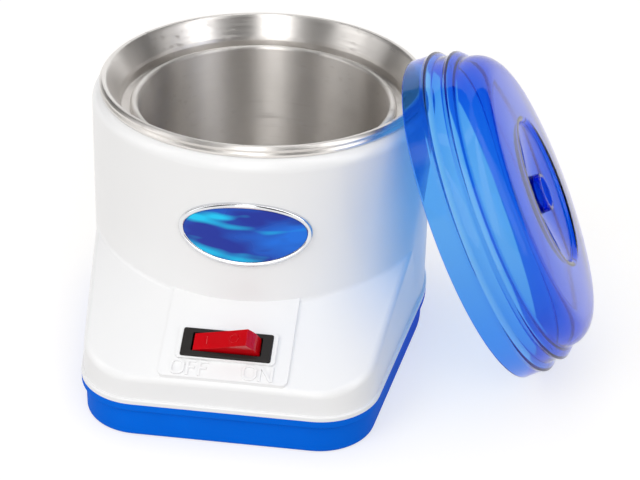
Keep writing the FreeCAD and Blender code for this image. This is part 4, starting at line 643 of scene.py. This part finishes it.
copies = wiring.add("GeometryNodeInstanceOnPoints", {
    "Points": spots.outputs["Geometry"], "Instance": chosen.outputs["Output"],
    "Rotation": turn_of_each.outputs["Rotation"]})
whole = wiring.add("GeometryNodeRealizeInstances", {"Geometry": copies.outputs["Instances"]})
dressed = wiring.add("GeometryNodeSetMaterial", {
    "Geometry": whole.outputs["Geometry"], "Material": start["Finish"]})
wiring.feed(end["Row"], dressed.outputs["Geometry"])


def stood_row(name, corners, places, material, seed, steps=32, recess=None):
    """Copies of one turned part at several places, with a cross recess at a height if one is given."""
    hub = max(corner[0] for corner in corners)
    spots_mesh = bpy.data.meshes.new(name + "_places")
    spots_mesh.from_pydata([Vector((x, y, 0)) * MM for x, y in places], [], [])
    spots_object = bpy.data.objects.new(name + "_places", spots_mesh)
    bpy.context.scene.collection.objects.link(spots_object)
    piece = grown(name, turned_row, outline_mesh(name, corners, hub), math.radians(30.0),
                  Places=spots_object, Steps=steps, Hub=hub * MM, Recessed=recess is not None,
                  Recess_Height=(recess or 0.0) * MM, Turn_Seed=seed, Finish=material)
    bpy.data.objects.remove(spots_object)
    return piece


screw_radius = 1.5
thread_root = 1.2
thread_pitch = 1.1
screw_head_radius = 3.0


def screw_row(name, node, head, seat, tip, places, seed):
    """Pan-head screws between three heights: the head's face, its seat and the tip."""
    way = math.copysign(1.0, tip - head)
    corners = [(0, head), (screw_head_radius, head, 0.9), (screw_head_radius, seat, 0.15),
               (screw_radius, seat)]
    rings = int((abs(tip - seat) - 1.0) / thread_pitch)
    for ring_number in range(rings):
        crest = seat + way * thread_pitch * (ring_number + 1)
        corners.append((thread_root, crest - way * thread_pitch / 2))
        corners.append((screw_radius, crest))
    corners += [(thread_root, tip - way * 0.6), (0.4, tip), (0, tip)]
    row = stood_row(name, corners, places, screw_steel, seed, recess=head + way * 0.45)
    fit(row, screw_steel, "base", "screw_steel", node)


lug_spots = [(-55.95, -7.86), (55.95, -7.86), (0.0, 56.5)]
screw_row("lug_screws", "bracket_screws", 40.8, 39.0, 34.0, lug_spots, 3)
screw_row("case_screws", "thermostat_screws", 18.0, 19.8, 22.4, [(20.0, -10.8), (20.0, 10.8)], 5)

# ---------------------------------------------------------------- tray
# The tray is the blue moulding that closes the housing from below: floor, low wall and lip, with
# vent slots, screw seats, posts for the heat shield, and pads under it.

blue_tray = moulded("blue_tray", (0.0, 0.150, 0.80), (0.0, 0.130, 0.72), 0.34, grain=1800.0,
                    depth=0.003, marks=0.2, Specular_IOR_Level=0.0, Coat_Weight=0.12, Coat_Roughness=0.25)
keep_node("base_tray", blue_tray)
keep_node("shield_posts", blue_tray)
tray_screw_spots = [(-37.0, -70.0), (37.0, -70.0), (-41.02, 37.98), (41.02, 37.98)]
screw_row("tray_screws", "base_screws", 0.8, 2.6, 15.0, tray_screw_spots, 11)

rubber_finish = Finish("pad_rubber")
rubber_grain = rubber_finish.noise(rubber_finish.place, 2200.0, 4.0, 0.7)
pad_rubber = rubber_finish.dress(
    rubber_finish.blend(rubber_grain, (0.030, 0.030, 0.031, 1), (0.055, 0.054, 0.052, 1)),
    rubber_finish.span(rubber_grain, 0.3, 0.7, 0.6, 0.8), rubber_grain, 0.04)
pad_corners = [(0, 0), (2.2, 0, 0.1), (2.5, 0.35), (3.1, 0.35), (3.4, 0, 0.1), (4.3, 0, 0.1), (4.6, 0.35),
               (5.2, 0.35), (5.5, 0, 0.1), (6.5, 0, 0.3), (6.5, 1.0), (0, 1.0)]
pad_spots = [(-36.0, -56.0), (36.0, -56.0), (-35.98, 28.01), (35.98, 28.01)]
fit(stood_row("pads", pad_corners, pad_spots, pad_rubber, 7, steps=64), pad_rubber, "base", "pad_rubber",
    "foot_pads")

# ---------------------------------------------------------------- cord gland, block and leads
# The rubber gland snaps into the back wall where the mains lead comes in. Behind it the wires meet
# in a block of white polyamide, and silicone-sleeved leads run on to the switch and the heater.

fit(welded_copy("cord_gland", "gland", bevel=0.2), pad_rubber, "base", "gland_rubber", "cord_gland")
block_white = moulded("block_white", (0.74, 0.73, 0.69), (0.68, 0.67, 0.63), 0.42, grain=1500.0, depth=0.02)
keep_node("terminal_block", block_white)
sleeve = Finish("lead_sleeve", Sheen_Weight=0.2)
sleeve_grain = sleeve.noise(sleeve.place, 1300.0, 4.0, 0.6)
lead_sleeve = sleeve.dress(sleeve.blend(sleeve_grain, (0.62, 0.59, 0.52, 1), (0.74, 0.71, 0.64, 1)),
                           sleeve.span(sleeve_grain, 0.3, 0.7, 0.5, 0.7), sleeve_grain, 0.03)
for lead in ("switch_lead", "fuse_lead", "thermostat_lead", "heater_lead", "return_lead"):
    keep_node(lead, lead_sleeve)

# ---------------------------------------------------------------- wax bowl
# The bowl is thin spun stainless with a rolled lip, lifted out by hand to pour. It is scoured from
# use: fine rings from spinning, and scraped patches on its wall.

bowl_radius = 47.3
bowl_inner = 46.5
bowl_bottom = 25.5
lip_radius = 49.2
lip_low = 87.5
lip_top = 90.1
used, used_skin, used_rubs = brushed("bowl_steel", 650.0, 0.38, 1.0, 0.95)
used_patch = used.span(used.noise(used.place, 26.0, 3.0, 0.6), 0.42, 0.6)
bowl_steel = used.dress(
    used.blend(used.sum("MULTIPLY", used_patch, 0.35), used_skin["Colour"], (0.70, 0.66, 0.62, 1)),
    used.sum("ADD", used_skin["Roughness"],
             used.sum("ADD", used.sum("MULTIPLY", used_patch, 0.08), used.sum("MULTIPLY", used_rubs, 0.40))),
    used.sum("ADD", used_skin["Height"], used_rubs), 0.006)
bowl = spun("bowl", [
    (0, bowl_bottom), (bowl_radius, bowl_bottom, 7.8), (bowl_radius, lip_low, 0.3),
    (lip_radius, lip_low, 0.8), (lip_radius, lip_top, 1.25), (bowl_inner, lip_top, 1.2),
    (bowl_inner, bowl_bottom + 0.8, 7.0), (0, bowl_bottom + 0.8)], bowl_steel)
fit(bowl, bowl_steel, "bowl", "bowl_steel", "wax_bowl")

# ---------------------------------------------------------------- lid
# The lid is one clear blue acrylic moulding: a flared skirt, two beads, a round-shouldered dome and
# a dished top with the knob welded in it. It leans with its open side on the collar's rim.

clear_blue = Finish("lid_blue", Transmission_Weight=1.0, IOR=1.22, Coat_Weight=0.2, Coat_Roughness=0.02)
smear = clear_blue.noise(clear_blue.place, 60.0, 4.0, 0.6)
lid_rubs = use(clear_blue, hairlines, Line_Scale=420.0, Amount=0.35)["Marks"]
tint = clear_blue.blend(clear_blue.span(smear, 0.35, 0.7), (0.90, 0.96, 1.0, 1), (0.84, 0.93, 1.0, 1))
lid_blue = clear_blue.dress(
    tint, clear_blue.sum("ADD", clear_blue.span(smear, 0.3, 0.7, 0.03, 0.07),
                         clear_blue.sum("MULTIPLY", lid_rubs, 0.2)), smear, 0.004)
depth_of_blue = clear_blue.add("VolumeAbsorption", {"Color": (0.0, 0.595, 0.95, 1), "Density": 1750.0})
clear_blue.feed(clear_blue.tree.nodes["Material Output"].inputs["Volume"], depth_of_blue.outputs[0])

lid_radius = 61.8
lid_wall = 1.2
lid_touch = 50.9
lid_yaw = math.radians(-1.0)
lid_aside = -12.4
lid_gap = 0.5
lean = math.acos(rim_height / (lid_radius + lid_touch))
touch_side = lid_aside + math.sqrt((lid_radius - lid_wall) ** 2 - lid_touch ** 2)
lid_foot = math.sqrt(rim_radius ** 2 - touch_side ** 2) + rim_height * math.tan(lean) + lid_gap
lid_centre = Vector((lid_foot - lid_radius * math.sin(lean), lid_aside, lid_radius * math.cos(lean))) * MM
lid_frame = (Matrix.Rotation(lid_yaw, 4, "Z") @ Matrix.Translation(lid_centre)
             @ Matrix.Rotation(math.pi / 2 - lean, 4, "Y"))

knob_seat = 24.5
lid_inside = [
    (0, knob_seat - lid_wall), (8.5, knob_seat - lid_wall, 3.0), (27.5, 26.8, 1.4), (28.3, 28.8, 1.2),
    (54.8, 26.5, 8.6), (54.8, 17.2, 1.0), (56.6, 16.7, 0.7), (58.4, 15.4, 0.4), (57.5, 14.0, 0.8),
    (58.1, 9.8, 0.8), (60.8, 8.4, 0.4), (60.1, 6.8, 1.0), (lid_radius - lid_wall, 0, 0.4)]
lid_outside = [
    (lid_radius, 0, 0.4), (61.3, 6.8, 1.2), (62.0, 8.4, 0.5), (59.3, 10.2, 0.7), (58.7, 13.6, 0.9),
    (59.6, 15.4, 0.5), (57.8, 17.2, 0.8), (56.0, 18.4, 0.4), (55.97, 27.68, 9.8), (27.2, 30.0, 2.0),
    (26.4, 28.0, 1.4), (8.5, knob_seat, 3.0), (0, knob_seat)]
lid = spun("lid", lid_inside + lid_outside, lid_blue, lid_frame, steps=192)
fit(lid, lid_blue, "lid", "lid_blue", "lid_shell")

# ---------------------------------------------------------------- lid knob
# The knob is a short hollow stud of the same acrylic, solvent-welded to the bottom of the dish.

knob_radius = 7.3
knob_top = knob_seat + 4.6
knob_hollow = 5.7
knob_floor = knob_seat + 1.4
knob = spun("knob", [
    (0, knob_seat), (knob_radius, knob_seat, 0.3), (knob_radius - 0.3, knob_top, 0.7),
    (knob_hollow - 0.2, knob_top, 0.5), (knob_hollow, knob_floor, 0.8), (0, knob_floor)],
    lid_blue, lid_frame, steps=96)
fit(knob, lid_blue, "lid", "lid_blue", "lid_knob")

# ---------------------------------------------------------------- floor, lamps and camera
# A pale seamless sheet carries the object. Two large soft boxes and the white surroundings light it
# at a plain level, and dark and bright cards, seen only by gloss, give the steel its bands.

floor_half = 3.0
floor_drop = 0.00002
floor = mesh_piece("floor_sheet", [
    Vector((x * floor_half, y * floor_half, -floor_drop)) for x, y in ((-1, -1), (1, -1), (1, 1), (-1, 1))],
    [(0, 1, 2, 3)], smooth=False)
if floor.data.polygons[0].normal.z < 0:
    floor.data.flip_normals()
paper = bpy.data.materials.new("paper")
paper.use_nodes = True
sheet = Wiring(paper.node_tree)
paper.node_tree.nodes.remove(paper.node_tree.nodes["Principled BSDF"])
rays = sheet.add("LightPath").outputs
seen = sheet.sum("MAXIMUM", sheet.sum("MAXIMUM", rays["Is Camera Ray"], rays["Is Glossy Ray"]),
                 rays["Is Transmission Ray"])
grain = sheet.noise(sheet.add("TexCoord").outputs["Object"], 300.0, 2.0)
sheet_colour = sheet.blend(grain, (0.52, 0.505, 0.485, 1), (0.50, 0.485, 0.465, 1))
matt = sheet.add("BsdfDiffuse", {"Color": sheet_colour})
glow = sheet.add("Emission", {"Color": (1, 1, 1, 1), "Strength": sheet.sum("MULTIPLY", seen, 0.58)})
both = sheet.add("AddShader", {0: matt.outputs[0], 1: glow.outputs[0]})
sheet.feed(sheet.tree.nodes["Material Output"].inputs["Surface"], both.outputs[0])
floor.data.materials.append(paper)

world = bpy.data.worlds.new("surroundings")
bpy.context.scene.world = world
world.use_nodes = True
sky = Wiring(world.node_tree)
rays = sky.add("LightPath").outputs
seen = sky.sum("MAXIMUM", sky.sum("MAXIMUM", rays["Is Camera Ray"], rays["Is Glossy Ray"]),
               rays["Is Transmission Ray"])
background = sky.tree.nodes["Background"]
background.inputs["Color"].default_value = (1, 1, 1, 1)
sky.feed(background.inputs["Strength"], sky.span(seen, 0.0, 1.0, 0.79, 1.0))

pot_middle = Vector((0, 0, 60)) * MM


def soft_box(name, place, width, depth, watts):
    """A rectangular lamp aimed at the pot."""
    lamp_data = bpy.data.lights.new(name, "AREA")
    lamp_data.shape = "RECTANGLE"
    lamp_data.size = width
    lamp_data.size_y = depth
    lamp_data.energy = watts
    lamp_object = bpy.data.objects.new(name, lamp_data)
    lamp_object.matrix_world = Matrix.Translation(place) @ (
        (pot_middle - place).to_track_quat("-Z", "Y").to_matrix().to_4x4())
    lamp_object.visible_glossy = False
    bpy.context.scene.collection.objects.link(lamp_object)


def gloss_card(name, place, width, height, shade, glow=0.0):
    """A dark or glowing card that only gloss sees, facing the pot."""
    corners = [Vector((x * width / 2, y * height / 2, 0)) for x, y in ((-1, -1), (1, -1), (1, 1), (-1, 1))]
    turn = (pot_middle - place).to_track_quat("Z", "Y").to_matrix().to_4x4()
    card = mesh_piece(name, [Matrix.Translation(place) @ turn @ corner for corner in corners],
                      [(0, 1, 2, 3)], smooth=False)
    material = bpy.data.materials.new(name)
    material.use_nodes = True
    surface = material.node_tree.nodes["Principled BSDF"].inputs
    surface["Base Color"].default_value = (shade, shade, shade, 1)
    surface["Roughness"].default_value = 1.0
    surface["Emission Color"].default_value = (1, 1, 1, 1)
    surface["Emission Strength"].default_value = glow
    card.data.materials.append(material)
    card.visible_camera = False
    card.visible_diffuse = False
    card.visible_transmission = False
    card.visible_shadow = False


def around(turn, rise, distance):
    """A place round the pot, by degrees to the right of its front and above the floor."""
    turn, rise = math.radians(turn), math.radians(rise)
    flat = distance * math.cos(rise)
    return pot_middle + Vector((flat * math.sin(turn), -flat * math.cos(turn), distance * math.sin(rise)))


soft_box("key_box", around(-36, 32, 1.25), 0.60, 0.85, 3.5)
soft_box("fill_box", around(26, 32, 1.30), 0.60, 0.60, 2.9)
gloss_card("front_light", around(-2, 46, 1.0), 0.34, 1.6, 1.0, glow=1.9)
gloss_card("right_light", around(67, 46, 1.0), 0.34, 1.6, 1.0, glow=1.8)
gloss_card("left_light", around(-70, 46, 1.0), 0.18, 1.6, 1.0, glow=1.4)
gloss_card("front_shade", around(34, 46, 1.0), 0.56, 1.6, 0.03)
gloss_card("near_left_shade", around(-38, 46, 1.0), 0.46, 1.6, 0.12)
gloss_card("far_left_shade", around(-120, 42, 1.0), 0.80, 1.4, 0.12)
gloss_card("far_right_shade", around(122, 42, 1.0), 0.80, 1.4, 0.08)

camera_turn = math.radians(5.88)
camera_rise = math.radians(30.31)
camera_roll = math.radians(1.97)
camera_distance = 600 * MM
aim = Vector((0, 0, 55)) * MM
shift_right = 22.54 * MM
shift_up = -21.8 * MM
focal_pixels = 1574.39
frame_pixels = 640
sensor_width = 36.0
back = Vector((math.sin(camera_turn) * math.cos(camera_rise),
               -math.cos(camera_turn) * math.cos(camera_rise), math.sin(camera_rise)))
right = Vector((math.cos(camera_turn), math.sin(camera_turn), 0))
up = back.cross(right)
rolled_right = math.cos(camera_roll) * right + math.sin(camera_roll) * up
rolled_up = -math.sin(camera_roll) * right + math.cos(camera_roll) * up
camera_place = aim + right * shift_right + up * shift_up + back * camera_distance
camera_data = bpy.data.cameras.new("camera")
camera_data.sensor_width = sensor_width
camera_data.lens = focal_pixels * sensor_width / frame_pixels
camera_data.clip_start = 0.01
camera = bpy.data.objects.new("camera", camera_data)
camera.matrix_world = Matrix((
    (rolled_right.x, rolled_up.x, back.x, camera_place.x),
    (rolled_right.y, rolled_up.y, back.y, camera_place.y),
    (rolled_right.z, rolled_up.z, back.z, camera_place.z),
    (0, 0, 0, 1)))
bpy.context.scene.collection.objects.link(camera)
bpy.context.scene.camera = camera
bpy.context.scene.view_settings.view_transform = "Standard"
